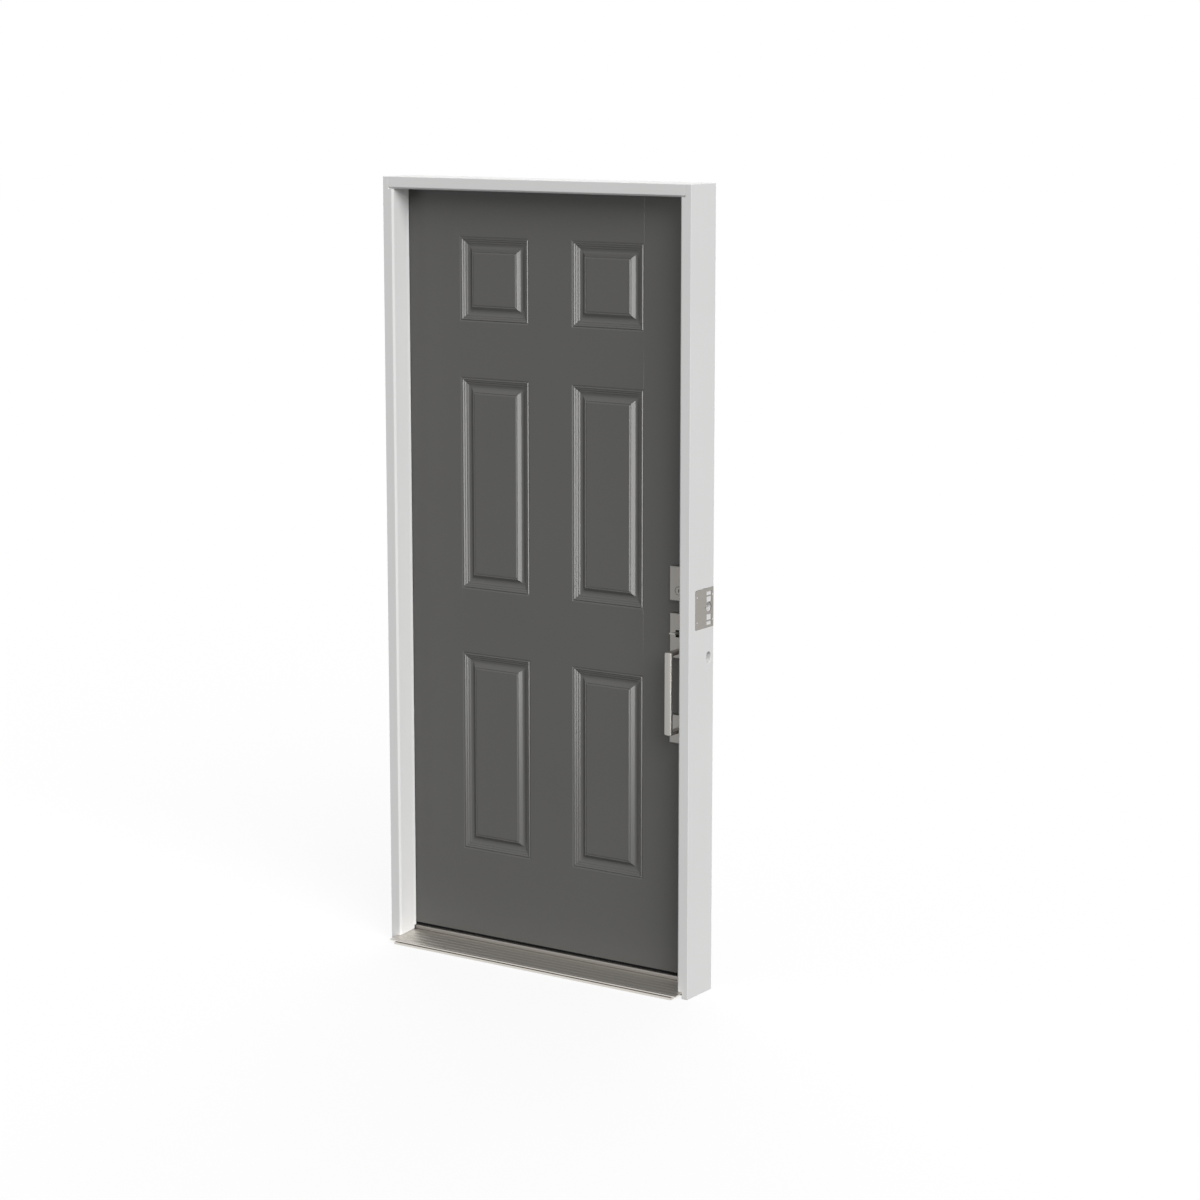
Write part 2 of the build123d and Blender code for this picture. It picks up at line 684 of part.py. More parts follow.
def thumb_turn():
    """Flat turn on a short round stem."""
    base = Y_IN + INSIDE_COVER_DEPTH
    stem = Pos(LOCK_X, base, BOLT_HEIGHT) * Rot(-90, 0, 0) * extrude(Circle(TURN_RADIUS), TURN_STEM)
    blade = block(
        span(LOCK_X, TURN_THICKNESS),
        (base + TURN_STEM, base + TURN_STEM + TURN_DEPTH),
        span(BOLT_HEIGHT, TURN_LENGTH),
    )
    return stem + chamfer(blade.edges().filter_by(Axis.X), TURN_CHAMFER)


def inside_rose():
    """Square rose behind the lever."""
    return room_plate(ROSE_WIDTH, ROSE_DEPTH, span(LATCH_HEIGHT, ROSE_WIDTH), PLATE_CHAMFER)


def inside_lever():
    """Straight lever that points away from the lock edge."""
    base = Y_IN + ROSE_DEPTH
    reach = LEVER_STANDOFF + LEVER_DEPTH / 2
    neck = Pos(LOCK_X, base, LATCH_HEIGHT) * Rot(-90, 0, 0) * extrude(Circle(LEVER_NECK_RADIUS), reach)
    bar = block(
        (LOCK_X - LEVER_LENGTH, LOCK_X + LEVER_NECK_RADIUS),
        (base + LEVER_STANDOFF, base + LEVER_STANDOFF + LEVER_DEPTH),
        span(LATCH_HEIGHT, LEVER_HEIGHT),
    )
    return neck + chamfer(bar.edges(), LEVER_EDGE)


def faceplate_block(height):
    """Room in the lock edge for a bolt's faceplate."""
    deep = FACEPLATE_SHEET + SLAB_THICKNESS * tan(radians(LOCK_EDGE_BEVEL))
    x = (SLAB_X - deep, SLAB_X + CUT_LIFT)
    return block(x, span(SLAB_MID_Y, FACEPLATE_WIDTH), span(height, FACEPLATE_HEIGHT))


def bolt_rod(radius, height):
    """Round bolt drawn back level with the lock edge."""
    return rod_x(radius, (SLAB_X - BOLT_LENGTH, SLAB_X + CUT_LIFT), SLAB_MID_Y, height)


# Strikes


def latch_slot(x):
    """Oblong latch hole through the lock-side jamb."""
    slot = Rot(0, 0, 90) * SlotOverall(LATCH_HOLE_HEIGHT, LATCH_HOLE_WIDTH)
    return along_x(Pos(SLAB_MID_Y, LATCH_HEIGHT) * slot, x)


def bolt_hole(x):
    """Round bolt hole through the lock-side jamb."""
    return rod_x(BOLT_HOLE_RADIUS, x, SLAB_MID_Y, BOLT_HEIGHT)


def strike_plate(height):
    """Rounded strike let in flush in the rabbet."""
    section = Pos(SLAB_MID_Y, height) * RectangleRounded(STRIKE_WIDTH, STRIKE_HEIGHT, STRIKE_CORNER)
    return along_x(section, (RABBET_X, RABBET_X + STRIKE_SHEET))


def backing_outline():
    """Plate let in flush in the jamb's outer face, rounded at its front corners."""
    plate = block(
        (JAMB_X - STRIKE_SHEET, JAMB_X),
        (Y_IN - BACKING_WIDTH, Y_IN),
        (BACKING_BOTTOM, BACKING_BOTTOM + BACKING_HEIGHT),
    )
    return fillet(plate.edges().filter_by(Axis.X).group_by(Axis.Y)[0], BACKING_CORNER)


def strike_backing_plate():
    """Pierced plate behind the bolt hole: windows, screw holes and a contact hole."""
    through = (JAMB_X - STRIKE_SHEET - CUT_LIFT, JAMB_X + CUT_LIFT)
    window_back = Y_IN - WINDOW_REAR_INSET
    plate = backing_outline() - bolt_hole(through)
    for low, high in WINDOW_SPANS:
        height = (BACKING_BOTTOM + low, BACKING_BOTTOM + high)
        plate -= block(through, (window_back - WINDOW_WIDTH, window_back), height)
    top = BACKING_BOTTOM + BACKING_HEIGHT
    for y in (Y_IN - BACKING_WIDTH + BACKING_SCREW_INSET_Y, Y_IN - BACKING_REAR_INSET):
        for z in (BACKING_BOTTOM + BACKING_SCREW_INSET_Z, top - BACKING_SCREW_INSET_Z):
            plate -= rod_x(BACKING_SCREW_RADIUS, through, y, z)
    return plate - rod_x(CONTACT_HOLE_RADIUS, through, SLAB_MID_Y - CONTACT_HOLE_OFFSET, BOLT_HEIGHT)


# Pieces, each under its own name

pieces = {}

hinge_jamb = jamb(-1)
jamb_through = (RABBET_X - CUT_LIFT, JAMB_X + CUT_LIFT)
strike_jamb = jamb(1) - latch_slot(jamb_through) - bolt_hole(jamb_through) - backing_outline()
for name, height, hole in (("latch", LATCH_HEIGHT, latch_slot), ("bolt", BOLT_HEIGHT, bolt_hole)):
    strike = strike_plate(height)
    strike_jamb -= strike
    pieces[name + "_strike"] = strike - hole(jamb_through)
pieces["strike_backing_plate"] = strike_backing_plate()
pieces["strike_jamb"] = strike_jamb
pieces["head_jamb"] = head_jamb()
pieces["hinge_side_seal"] = side_seal(-1)
pieces["lock_side_seal"] = side_seal(1)
pieces["head_seal"] = head_seal()
pieces["sill_deck"] = sill_deck()
pieces["sill_substrate"] = sill_substrate()
pieces["threshold_cap"] = threshold_cap()

outside_skin, inside_skin = slab_skins()
whole_slab = slab_outline()
core_depth = (CORE_FRONT, CORE_BACK)
slab_height = (SLAB_BOTTOM, SLAB_TOP)
stile_inner = (-SLAB_X + HINGE_STILE, SLAB_X - LOCK_STILE)
hinge_stile = block((-SLAB_X, stile_inner[0]), core_depth, slab_height)
lock_stile = block((stile_inner[1], SLAB_X), core_depth, slab_height) & whole_slab
for name, height in zip(("upper", "middle", "lower"), HINGE_HEIGHTS):
    hinge_jamb -= leaf_plate(FRAME_LEAF_X, height)
    hinge_stile -= leaf_plate(DOOR_LEAF_X, height)
    inside_skin -= leaf_plate(DOOR_LEAF_X, height)
    pieces[name + "_frame_leaf"] = hinge_leaf(FRAME_LEAF_X, height, 0)
    pieces[name + "_door_leaf"] = hinge_leaf(DOOR_LEAF_X, height, 1)
    pieces[name + "_hinge_pin"] = hinge_pin(height)
for name, height, radius in (("latch", LATCH_HEIGHT, LATCH_RADIUS), ("dead", BOLT_HEIGHT, BOLT_RADIUS)):
    room = bolt_rod(radius + HARDWARE_CLEARANCE, height)
    plate = faceplate_block(height)
    lock_stile = lock_stile - room - plate
    pieces[name + "_bolt"] = bolt_rod(radius, height) & whole_slab
    pieces[name + "_bolt_faceplate"] = (plate & whole_slab) - room
pieces["hinge_jamb"] = hinge_jamb
pieces["outside_skin"] = outside_skin
pieces["inside_skin"] = inside_skin
pieces["hinge_stile"] = hinge_stile
pieces["lock_stile"] = lock_stile
pieces["top_rail"] = block(stile_inner, core_depth, (SLAB_TOP - TOP_RAIL_BLOCK, SLAB_TOP))
pieces["bottom_rail"] = block(stile_inner, core_depth, (SLAB_BOTTOM, SLAB_BOTTOM + BOTTOM_RAIL_BLOCK))
pieces["foam_core"] = foam_core()
pieces["door_sweep"] = door_sweep()
pieces["lock_cover"] = lock_cover()
pieces["key_cylinder"] = key_cylinder()
pieces["handle_plate"] = handle_plate()
pieces["thumb_piece"] = thumb_piece()
pieces["grip"] = grip()
pieces["grip_foot_plate"] = grip_foot_plate()
pieces["inside_lock_cover"] = inside_lock_cover()
pieces["thumb_turn"] = thumb_turn()
pieces["inside_rose"] = inside_rose()
pieces["inside_lever"] = inside_lever()

os.makedirs("parts", exist_ok=True)
for name, shape in pieces.items():
    export_step(shape, os.path.join("parts", name + ".step"))
print(len(pieces), "pieces written")
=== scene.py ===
# %% [markdown]
# A pre-hung fiberglass front door, dressed for its picture. The solid model arrives ready made: every jamb,
# skin, plate and pin sits where it belongs, in metres. Here we only give it its looks, so the first step is
# to load that model, with a tool that gives the box of any of its parts.

# %% Load the door and a tool for the boxes of its parts
import json
import math

import bmesh
import bpy
import numpy as np
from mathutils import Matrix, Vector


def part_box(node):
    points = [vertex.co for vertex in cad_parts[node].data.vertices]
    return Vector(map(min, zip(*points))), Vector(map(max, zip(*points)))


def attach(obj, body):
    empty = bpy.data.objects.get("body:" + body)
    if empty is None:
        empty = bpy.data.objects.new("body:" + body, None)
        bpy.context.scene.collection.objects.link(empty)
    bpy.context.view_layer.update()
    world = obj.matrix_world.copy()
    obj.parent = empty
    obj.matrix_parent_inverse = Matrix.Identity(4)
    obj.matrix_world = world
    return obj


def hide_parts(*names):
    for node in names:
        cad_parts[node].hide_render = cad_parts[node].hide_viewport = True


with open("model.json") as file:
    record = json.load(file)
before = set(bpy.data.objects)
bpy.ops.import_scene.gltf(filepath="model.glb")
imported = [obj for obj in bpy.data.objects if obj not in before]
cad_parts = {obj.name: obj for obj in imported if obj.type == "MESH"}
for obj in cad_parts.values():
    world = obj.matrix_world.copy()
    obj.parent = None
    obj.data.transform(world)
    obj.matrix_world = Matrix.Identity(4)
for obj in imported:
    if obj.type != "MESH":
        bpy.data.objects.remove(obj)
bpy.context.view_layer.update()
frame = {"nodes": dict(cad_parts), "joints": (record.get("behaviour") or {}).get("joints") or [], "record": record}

MM = 0.001
NODES = frame["nodes"]
BODY_OF = {node: body for body, nodes in frame["record"]["behaviour"]["bodies"].items() for node in nodes}
scene = bpy.context.scene
scene.view_settings.view_transform = "Standard"

# %% [markdown]
# The camera stands in front of the weather side, to the right of it and a little above the lock. Its place
# and lens could be guessed by eye. They were worked out instead, from the pixels of the frame's corners,
# whose real distances are known. A small shift of the lens keeps the uprights nearly parallel.

# %% Camera
CAMERA_PLACE = (4.394, -6.292, 2.366)
CAMERA_TURN = 33.88
CAMERA_TILT = 9.53
CAMERA_LENS = 89.8
CAMERA_SHIFT = -0.03


def add_camera():
    """Camera at its place, turned to the left about the upright and tilted down from the level."""
    data = bpy.data.cameras.new("camera")
    data.lens = CAMERA_LENS
    data.shift_y = CAMERA_SHIFT
    camera = bpy.data.objects.new("camera", data)
    camera.location = CAMERA_PLACE
    camera.rotation_euler = (math.radians(90 - CAMERA_TILT), 0, math.radians(CAMERA_TURN))
    scene.collection.objects.link(camera)
    scene.camera = camera
    return camera


print("camera", tuple(add_camera().location))

# %% [markdown]
# Materials are graphs of nodes. Two small helpers keep the graphs readable: one adds a node and sets its
# inputs by name, the other makes a material with an empty Principled shader.

# %% Helpers for node graphs


def add(tree, kind, **inputs):
    """New node in a tree, with input values set by name; an underscore in a name stands for a space."""
    node = tree.nodes.new("ShaderNode" + kind)
    for name, value in inputs.items():
        node.inputs[name.replace("_", " ")].default_value = value
    return node


def new_material(name):
    """Material with a Principled shader wired to its output; gives the material, its tree and the shader."""
    material = bpy.data.materials.new(name)
    material.use_nodes = True
    tree = material.node_tree
    return material, tree, tree.nodes["Principled BSDF"]


def blend_colours(tree, mask, first, second):
    """Colour that goes from the first to the second as a mask goes from 0 to 1."""
    mix = tree.nodes.new("ShaderNodeMix")
    mix.data_type = "RGBA"
    mix.inputs["A"].default_value = (*first, 1)
    mix.inputs["B"].default_value = (*second, 1)
    tree.links.new(mask, mix.inputs["Factor"])
    return mix.outputs["Result"]


def spread(tree, mask, low, high):
    """Value that goes from low to high as a mask goes from 0 to 1."""
    ranged = add(tree, "MapRange", To_Min=low, To_Max=high)
    tree.links.new(mask, ranged.inputs["Value"])
    return ranged.outputs["Result"]


# %% [markdown]
# A product picture has a white ground and hardly any shadow. One way is to flood the object with light, but
# then pale surfaces burn out. Instead the light stays plain, and rays that come straight from the camera,
# or by way of polished metal, see a white floor and sky. The floor is part glow and part matt white, so a
# soft shadow remains. Two broad suns do the rest: a key from the upper right, and a weaker one behind for
# the room side, which the sill would mirror as glare and which is therefore hidden from gloss. A tall strip
# box on the floor at the right adds no light of its own to matt surfaces. It is there to be mirrored, so
# that each edge of the mouldings that faces it gets a bright line.

# %% Floor, sky and suns
SKY_LEVEL = 0.40
SUNS = {
    "key": {"level": 2.4, "spread": 40, "height": 30, "turn": 54, "mirrored": True},
    "room_side": {"level": 1.8, "spread": 60, "height": 22, "turn": 210, "mirrored": False},
}
STRIP_BOX = {"power": 130, "width": 2.0, "height": 2.3, "away": 2.6, "turn": 50}
FLOOR_HALF = 40.0
FLOOR_BOUNCE = 0.15
FLOOR_SHADE = 0.16


def seen_directly(tree):
    """Mask of the rays that come from the camera or by way of a glossy or clear surface."""
    path = add(tree, "LightPath")
    either = add(tree, "Math")
    either.operation = "MAXIMUM"
    tree.links.new(path.outputs["Is Camera Ray"], either.inputs[0])
    tree.links.new(path.outputs["Is Glossy Ray"], either.inputs[1])
    every = add(tree, "Math")
    every.operation = "MAXIMUM"
    tree.links.new(either.outputs[0], every.inputs[0])
    tree.links.new(path.outputs["Is Transmission Ray"], every.inputs[1])
    return every.outputs[0]


def add_sky():
    """White sky for direct rays, a plain grey one for lighting."""
    world = bpy.data.worlds.new("sky")
    world.use_nodes = True
    scene.world = world
    tree = world.node_tree
    lighting = tree.nodes["Background"]
    lighting.inputs["Color"].default_value = (1, 1, 1, 1)
    lighting.inputs["Strength"].default_value = SKY_LEVEL
    seen = add(tree, "Background", Color=(1, 1, 1, 1), Strength=1.0)
    mix = add(tree, "MixShader")
    tree.links.new(seen_directly(tree), mix.inputs[0])
    tree.links.new(lighting.outputs[0], mix.inputs[1])
    tree.links.new(seen.outputs[0], mix.inputs[2])
    tree.links.new(mix.outputs[0], tree.nodes["World Output"].inputs["Surface"])


def add_sun(name, level, spread, height, turn, mirrored):
    """Soft sun at a height, turned to the right of the door's outside; gives its light on the floor."""
    data = bpy.data.lights.new(name, "SUN")
    data.energy = level
    data.angle = math.radians(spread)
    sun = bpy.data.objects.new(name, data)
    sun.rotation_euler = (math.radians(90 - height), 0, math.radians(turn))
    sun.visible_glossy = mirrored
    scene.collection.objects.link(sun)
    return level / math.pi * math.sin(math.radians(height))


def add_strip_box(power, width, height, away, turn):
    """Upright box of light on the floor at a distance, turned to the right, seen by gloss alone."""
    data = bpy.data.lights.new("strip_box", "AREA")
    data.shape = "RECTANGLE"
    data.size = width
    data.size_y = height
    data.energy = power
    box = bpy.data.objects.new("strip_box", data)
    angle = math.radians(turn)
    box.location = (away * math.sin(angle), -away * math.cos(angle), height / 2)
    box.rotation_euler = (math.radians(90), 0, angle)
    box.visible_camera = False
    box.visible_diffuse = False
    scene.collection.objects.link(box)


def add_floor(light_level):
    """Level floor whose glow and matt share of the light add up to white where no shadow falls."""
    glow_level = 1.0 - FLOOR_SHADE * light_level
    mesh = bpy.data.meshes.new("floor")
    corners = FLOOR_HALF * np.array([(-1, -1, 0), (1, -1, 0), (1, 1, 0), (-1, 1, 0)])
    mesh.from_pydata(corners.tolist(), [], [(0, 1, 2, 3)])
    material = bpy.data.materials.new("floor")
    material.use_nodes = True
    tree = material.node_tree
    tree.nodes.remove(tree.nodes["Principled BSDF"])
    bounce = add(tree, "BsdfDiffuse", Color=(FLOOR_BOUNCE, FLOOR_BOUNCE, FLOOR_BOUNCE, 1))
    shade = add(tree, "BsdfDiffuse", Color=(FLOOR_SHADE, FLOOR_SHADE, FLOOR_SHADE, 1))
    glow = add(tree, "Emission", Color=(1, 1, 1, 1), Strength=glow_level)
    seen = add(tree, "AddShader")
    mix = add(tree, "MixShader")
    tree.links.new(shade.outputs[0], seen.inputs[0])
    tree.links.new(glow.outputs[0], seen.inputs[1])
    tree.links.new(seen_directly(tree), mix.inputs[0])
    tree.links.new(bounce.outputs[0], mix.inputs[1])
    tree.links.new(seen.outputs[0], mix.inputs[2])
    tree.links.new(mix.outputs[0], tree.nodes["Material Output"].inputs["Surface"])
    mesh.materials.append(material)
    floor = bpy.data.objects.new("floor", mesh)
    scene.collection.objects.link(floor)
    return glow_level


add_sky()
floor_light = SKY_LEVEL + sum(add_sun(name, **values) for name, values in SUNS.items())
add_strip_box(**STRIP_BOX)
print("floor glows at", round(add_floor(floor_light), 3), "under", round(floor_light, 3))

# %% [markdown]
# Real finishes are never quite even. Paint has a faint orange peel, drawn or brushed metal has lines, vinyl
# has a grain. All of them are noise at some scale, stretched or not, so one node group serves every finish.
# A second group lays a trace of dust on faces that look up. Groups only hand out masks; the shaders stay
# outside.

# %% Shared groups: surface grain and dust
FINE_DETAIL = 4.0
BROAD_DETAIL = 2.0
DUST_DETAIL = 5.0
DUST_SLOPE = 0.3

def new_group(name, inputs, outputs):
    """Shader group with its named sockets; gives the tree and its two end nodes."""
    group = bpy.data.node_groups.new(name, "ShaderNodeTree")
    for socket, kind, value in inputs:
        made = group.interface.new_socket(socket, in_out="INPUT", socket_type="NodeSocket" + kind)
        made.default_value = value
    for socket in outputs:
        group.interface.new_socket(socket, in_out="OUTPUT", socket_type="NodeSocketFloat")
    return group, group.nodes.new("NodeGroupInput"), group.nodes.new("NodeGroupOutput")


def make_grain_group():
    """Noise at a fine scale and at a broad one, on the piece's own coordinates, stretched by a vector."""
    inputs = (("Scale", "Float", 900.0), ("Broad Scale", "Float", 4.0), ("Stretch", "Vector", (1, 1, 1)))
    group, source, result = new_group("surface_grain", inputs, ("Fine", "Broad"))
    place = add(group, "TexCoord")
    stretched = add(group, "VectorMath")
    stretched.operation = "MULTIPLY"
    group.links.new(place.outputs["Object"], stretched.inputs[0])
    group.links.new(source.outputs["Stretch"], stretched.inputs[1])
    for scale, output, detail in (("Scale", "Fine", FINE_DETAIL), ("Broad Scale", "Broad", BROAD_DETAIL)):
        noise = add(group, "TexNoise", Detail=detail)
        group.links.new(stretched.outputs[0], noise.inputs["Vector"])
        group.links.new(source.outputs[scale], noise.inputs["Scale"])
        group.links.new(noise.outputs[0], result.inputs[output])
    return group


def make_dust_group():
    """Dust mask: the upward share of the surface normal, broken up by noise and scaled by an amount."""
    inputs = (("Amount", "Float", 0.2), ("Scale", "Float", 60.0))
    group, source, result = new_group("settled_dust", inputs, ("Dust",))
    geometry = add(group, "NewGeometry")
    parts = add(group, "SeparateXYZ")
    upward = add(group, "MapRange", From_Min=DUST_SLOPE, From_Max=1.0)
    place = add(group, "TexCoord")
    noise = add(group, "TexNoise", Detail=DUST_DETAIL)
    broken = add(group, "Math")
    broken.operation = "MULTIPLY"
    scaled = add(group, "Math")
    scaled.operation = "MULTIPLY"
    group.links.new(geometry.outputs["Normal"], parts.inputs[0])
    group.links.new(parts.outputs["Z"], upward.inputs["Value"])
    group.links.new(place.outputs["Object"], noise.inputs["Vector"])
    group.links.new(source.outputs["Scale"], noise.inputs["Scale"])
    group.links.new(upward.outputs[0], broken.inputs[0])
    group.links.new(noise.outputs[0], broken.inputs[1])
    group.links.new(broken.outputs[0], scaled.inputs[0])
    group.links.new(source.outputs["Amount"], scaled.inputs[1])
    group.links.new(scaled.outputs[0], result.inputs["Dust"])
    return group


GRAIN = make_grain_group()
DUST = make_dust_group()


def place_group(tree, group, **inputs):
    """The group as a node in a material's tree, with its inputs set by name."""
    node = tree.nodes.new("ShaderNodeGroup")
    node.node_tree = group
    for name, value in inputs.items():
        node.inputs[name.replace("_", " ")].default_value = value
    return node


def raise_surface(tree, shader, height, depth):
    """Bump of a real depth in metres from a height mask, fed to the shader's normal."""
    bump = add(tree, "Bump", Strength=1.0, Distance=depth)
    tree.links.new(height, bump.inputs["Height"])
    tree.links.new(bump.outputs[0], shader.inputs["Normal"])


print("groups", GRAIN.name, DUST.name)

# %% [markdown]
# Every finish of this door follows one pattern: two close tones mixed by the broad noise, a roughness that
# wanders between two values with the fine noise, and a bump of a hundredth of a millimetre or somewhat
# more. What sets paint apart from metal or vinyl is in the numbers, so one function makes them all and a
# short table of values names the finishes. Dust then lightens the faces that look up.

# %% Finishes
DUST_TONE = (0.45, 0.43, 0.40)


def finish(name, tones, rough, grain, bump, metallic=0.0, gloss=0.5, dust=0.0, stretch=(1, 1, 1), broad=4.0):
    """Material from two tones, a range of roughness, a grain scale per metre and a bump depth."""
    material, tree, shader = new_material(name)
    noise = place_group(tree, GRAIN, Scale=grain, Broad_Scale=broad, Stretch=stretch)
    colour = blend_colours(tree, noise.outputs["Broad"], *tones)
    powder = place_group(tree, DUST, Amount=dust)
    dusty = tree.nodes.new("ShaderNodeMix")
    dusty.data_type = "RGBA"
    dusty.inputs["B"].default_value = (*DUST_TONE, 1)
    tree.links.new(powder.outputs["Dust"], dusty.inputs["Factor"])
    tree.links.new(colour, dusty.inputs["A"])
    tree.links.new(dusty.outputs["Result"], shader.inputs["Base Color"])
    tree.links.new(spread(tree, noise.outputs["Fine"], *rough), shader.inputs["Roughness"])
    raise_surface(tree, shader, noise.outputs["Fine"], bump)
    shader.inputs["Metallic"].default_value = metallic
    shader.inputs["Specular IOR Level"].default_value = gloss
    return material


ALONG_X = (0.02, 1, 1)
ALONG_Z = (1, 1, 0.02)
PAINT = {"grain": 1400, "bump": 0.00001, "dust": 0.05}
METAL = {"grain": 2600, "bump": 0.00001, "metallic": 1.0, "broad": 120.0}
FINISHES = {
    "grey_fiberglass": finish("grey_fiberglass", ((0.104, 0.103, 0.099), (0.114, 0.113, 0.108)), (0.24, 0.32),
                              gloss=0.33, broad=3.0, **PAINT),
    "white_frame": finish("white_frame", ((0.80, 0.80, 0.795), (0.84, 0.84, 0.835)), (0.40, 0.54),
                          gloss=0.12, **PAINT),
    "pale_seal": finish("pale_seal", ((0.80, 0.80, 0.79), (0.86, 0.86, 0.85)), (0.45, 0.62),
                        grain=1800, bump=0.00004),
    "sill_aluminium": finish("sill_aluminium", ((0.62, 0.59, 0.55), (0.72, 0.69, 0.64)), (0.34, 0.48),
                             stretch=ALONG_X, dust=0.08, **METAL),
    "sill_base": finish("sill_base", ((0.30, 0.28, 0.25), (0.36, 0.34, 0.30)), (0.6, 0.8),
                        grain=500, bump=0.00008),
    "edge_wood": finish("edge_wood", ((0.42, 0.29, 0.17), (0.60, 0.45, 0.29)), (0.5, 0.7),
                        grain=700, bump=0.00006, stretch=ALONG_Z, broad=160.0),
    "foam": finish("foam", ((0.72, 0.66, 0.50), (0.80, 0.74, 0.58)), (0.8, 0.95), grain=500, bump=0.0002),
    "black_vinyl": finish("black_vinyl", ((0.008, 0.008, 0.009), (0.013, 0.013, 0.014)), (0.6, 0.8),
                          grain=1500, bump=0.00004, gloss=0.1),
    "satin_nickel": finish("satin_nickel", ((0.235, 0.225, 0.21), (0.275, 0.265, 0.25)), (0.28, 0.40),
                           stretch=ALONG_Z, **METAL),
}
DULL_ALUMINIUM = finish("dull_aluminium", ((0.32, 0.305, 0.285), (0.37, 0.352, 0.328)), (0.40, 0.52),
                        stretch=ALONG_X, **METAL)
# Satin nickel painted lighter for the grip and the thumb piece: a painted highlight for the light they catch, out
# of the shade that falls on the plates.
SATIN_NICKEL_PAINTED_LIGHT = finish("bright_nickel", ((0.33, 0.32, 0.30), (0.38, 0.365, 0.345)), (0.34, 0.44),
                       stretch=ALONG_Z, **METAL)
PLATED_STEEL = finish("plated_steel", ((0.335, 0.318, 0.296), (0.39, 0.373, 0.345)), (0.36, 0.50), **METAL)
for slot in FINISHES:
    print("finish", slot)

# %% [markdown]
# Each piece of the model already names its material slot. Pieces whose solid shape is right simply take the
# finish of that name.

# %% Dress the solid pieces
SLOT_OF = {part["node"]: part["material_slot"] for part in frame["record"]["subparts"]}
for node, piece in NODES.items():
    piece.data.materials.clear()
    piece.data.materials.append(FINISHES[SLOT_OF[node]])
print("dressed", len(NODES), "solid pieces")

# %% [markdown]
# New pieces are worked out as whole arrays of points. This step makes the tools for it: quads of a grid, a
# rounded outline, and a function that puts points and faces into a mesh, closes its seams, turns its faces
# outwards and hangs it on the body that carries it.

# %% Tools for new pieces
SEAM = 1e-6
ROUND_STEPS = 6
CREASE = 32


def grid_faces(rows, columns, ring_rows=False, ring_columns=False):
    """Quads between neighbouring points of a grid numbered row by row; a ring joins last to first."""
    row = np.arange(rows if ring_rows else rows - 1)[:, None]
    column = np.arange(columns if ring_columns else columns - 1)[None, :]
    next_row = (row + 1) % rows
    next_column = (column + 1) % columns
    pairs = ((row, column), (row, next_column), (next_row, next_column), (next_row, column))
    corners = [np.broadcast_to(r * columns + c, (row.size, column.size)) for r, c in pairs]
    return np.stack(corners, axis=-1).reshape(-1, 4)


def rounded(corners, radii, steps=ROUND_STEPS):
    """Closed outline whose corners are arcs: each centre is on the bisector, radius over sine away."""
    corners = np.asarray(corners, float)
    radii = np.broadcast_to(np.asarray(radii, float), len(corners))[:, None]
    back = np.roll(corners, 1, axis=0) - corners
    ahead = np.roll(corners, -1, axis=0) - corners
    back /= np.linalg.norm(back, axis=1, keepdims=True)
    ahead /= np.linalg.norm(ahead, axis=1, keepdims=True)
    half = np.arccos(np.clip((back * ahead).sum(1, keepdims=True), -1, 1)) / 2
    bisector = (back + ahead) / np.linalg.norm(back + ahead, axis=1, keepdims=True)
    centre = corners + bisector * radii / np.sin(half)
    start = corners + back * radii / np.tan(half) - centre
    end = corners + ahead * radii / np.tan(half) - centre
    first = np.arctan2(start[:, 1], start[:, 0])
    turn = np.arctan2(end[:, 1], end[:, 0]) - first
    turn = (turn + np.pi) % (2 * np.pi) - np.pi
    angle = first[:, None] + turn[:, None] * np.linspace(0, 1, steps)
    arc = np.stack([np.cos(angle), np.sin(angle)], axis=-1) * radii[:, :, None]
    return (centre[:, None, :] + arc).reshape(-1, 2)


def place_mesh(name, mesh, crease, body, slot, material=None, replaces=()):
    """Object of a mesh, smooth up to a crease angle, on its body, with its finish; hides the pieces it replaces.
    """
    mesh.shade_smooth()
    mesh.set_sharp_from_angle(angle=math.radians(crease))
    mesh.materials.clear()
    mesh.materials.append(material or FINISHES[slot])
    piece = bpy.data.objects.new(name, mesh)
    scene.collection.objects.link(piece)
    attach(piece, body)
    if replaces:
        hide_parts(*replaces)
    print("made", name, len(mesh.polygons), "faces")
    return piece


def new_piece(name, points, faces, body, slot, crease=CREASE, **options):
    """Piece from points and lists of faces, with its seams closed and its faces turned outwards."""
    mesh = bpy.data.meshes.new(name)
    every_face = [list(face) for part in faces for face in part]
    mesh.from_pydata(np.asarray(points).reshape(-1, 3).tolist(), [], every_face)
    shape = bmesh.new()
    shape.from_mesh(mesh)
    bmesh.ops.remove_doubles(shape, verts=shape.verts, dist=SEAM)
    loose = [vertex for vertex in shape.verts if not vertex.link_faces]
    bmesh.ops.delete(shape, geom=loose, context="VERTS")
    bmesh.ops.recalc_face_normals(shape, faces=shape.faces)
    shape.to_mesh(mesh)
    shape.free()
    return place_mesh(name, mesh, crease, body, slot, **options)


# %% [markdown]
# The moulded skin is the face of this door: a thin sheet of fiberglass pressed in a mould, with six raised
# panels. Each panel is framed by a moulding. From the border inwards it has a quirk, three small rounded
# steps, a cove that runs out into a flat ground, a bevel up to the panel, a fine groove and the panel's
# edge. It could be swept along every border, as the solid model does. Here its section is one table of
# corners, each with a rounding, and the depth of the sheet at any place is read from it by the distance to
# the nearest border.

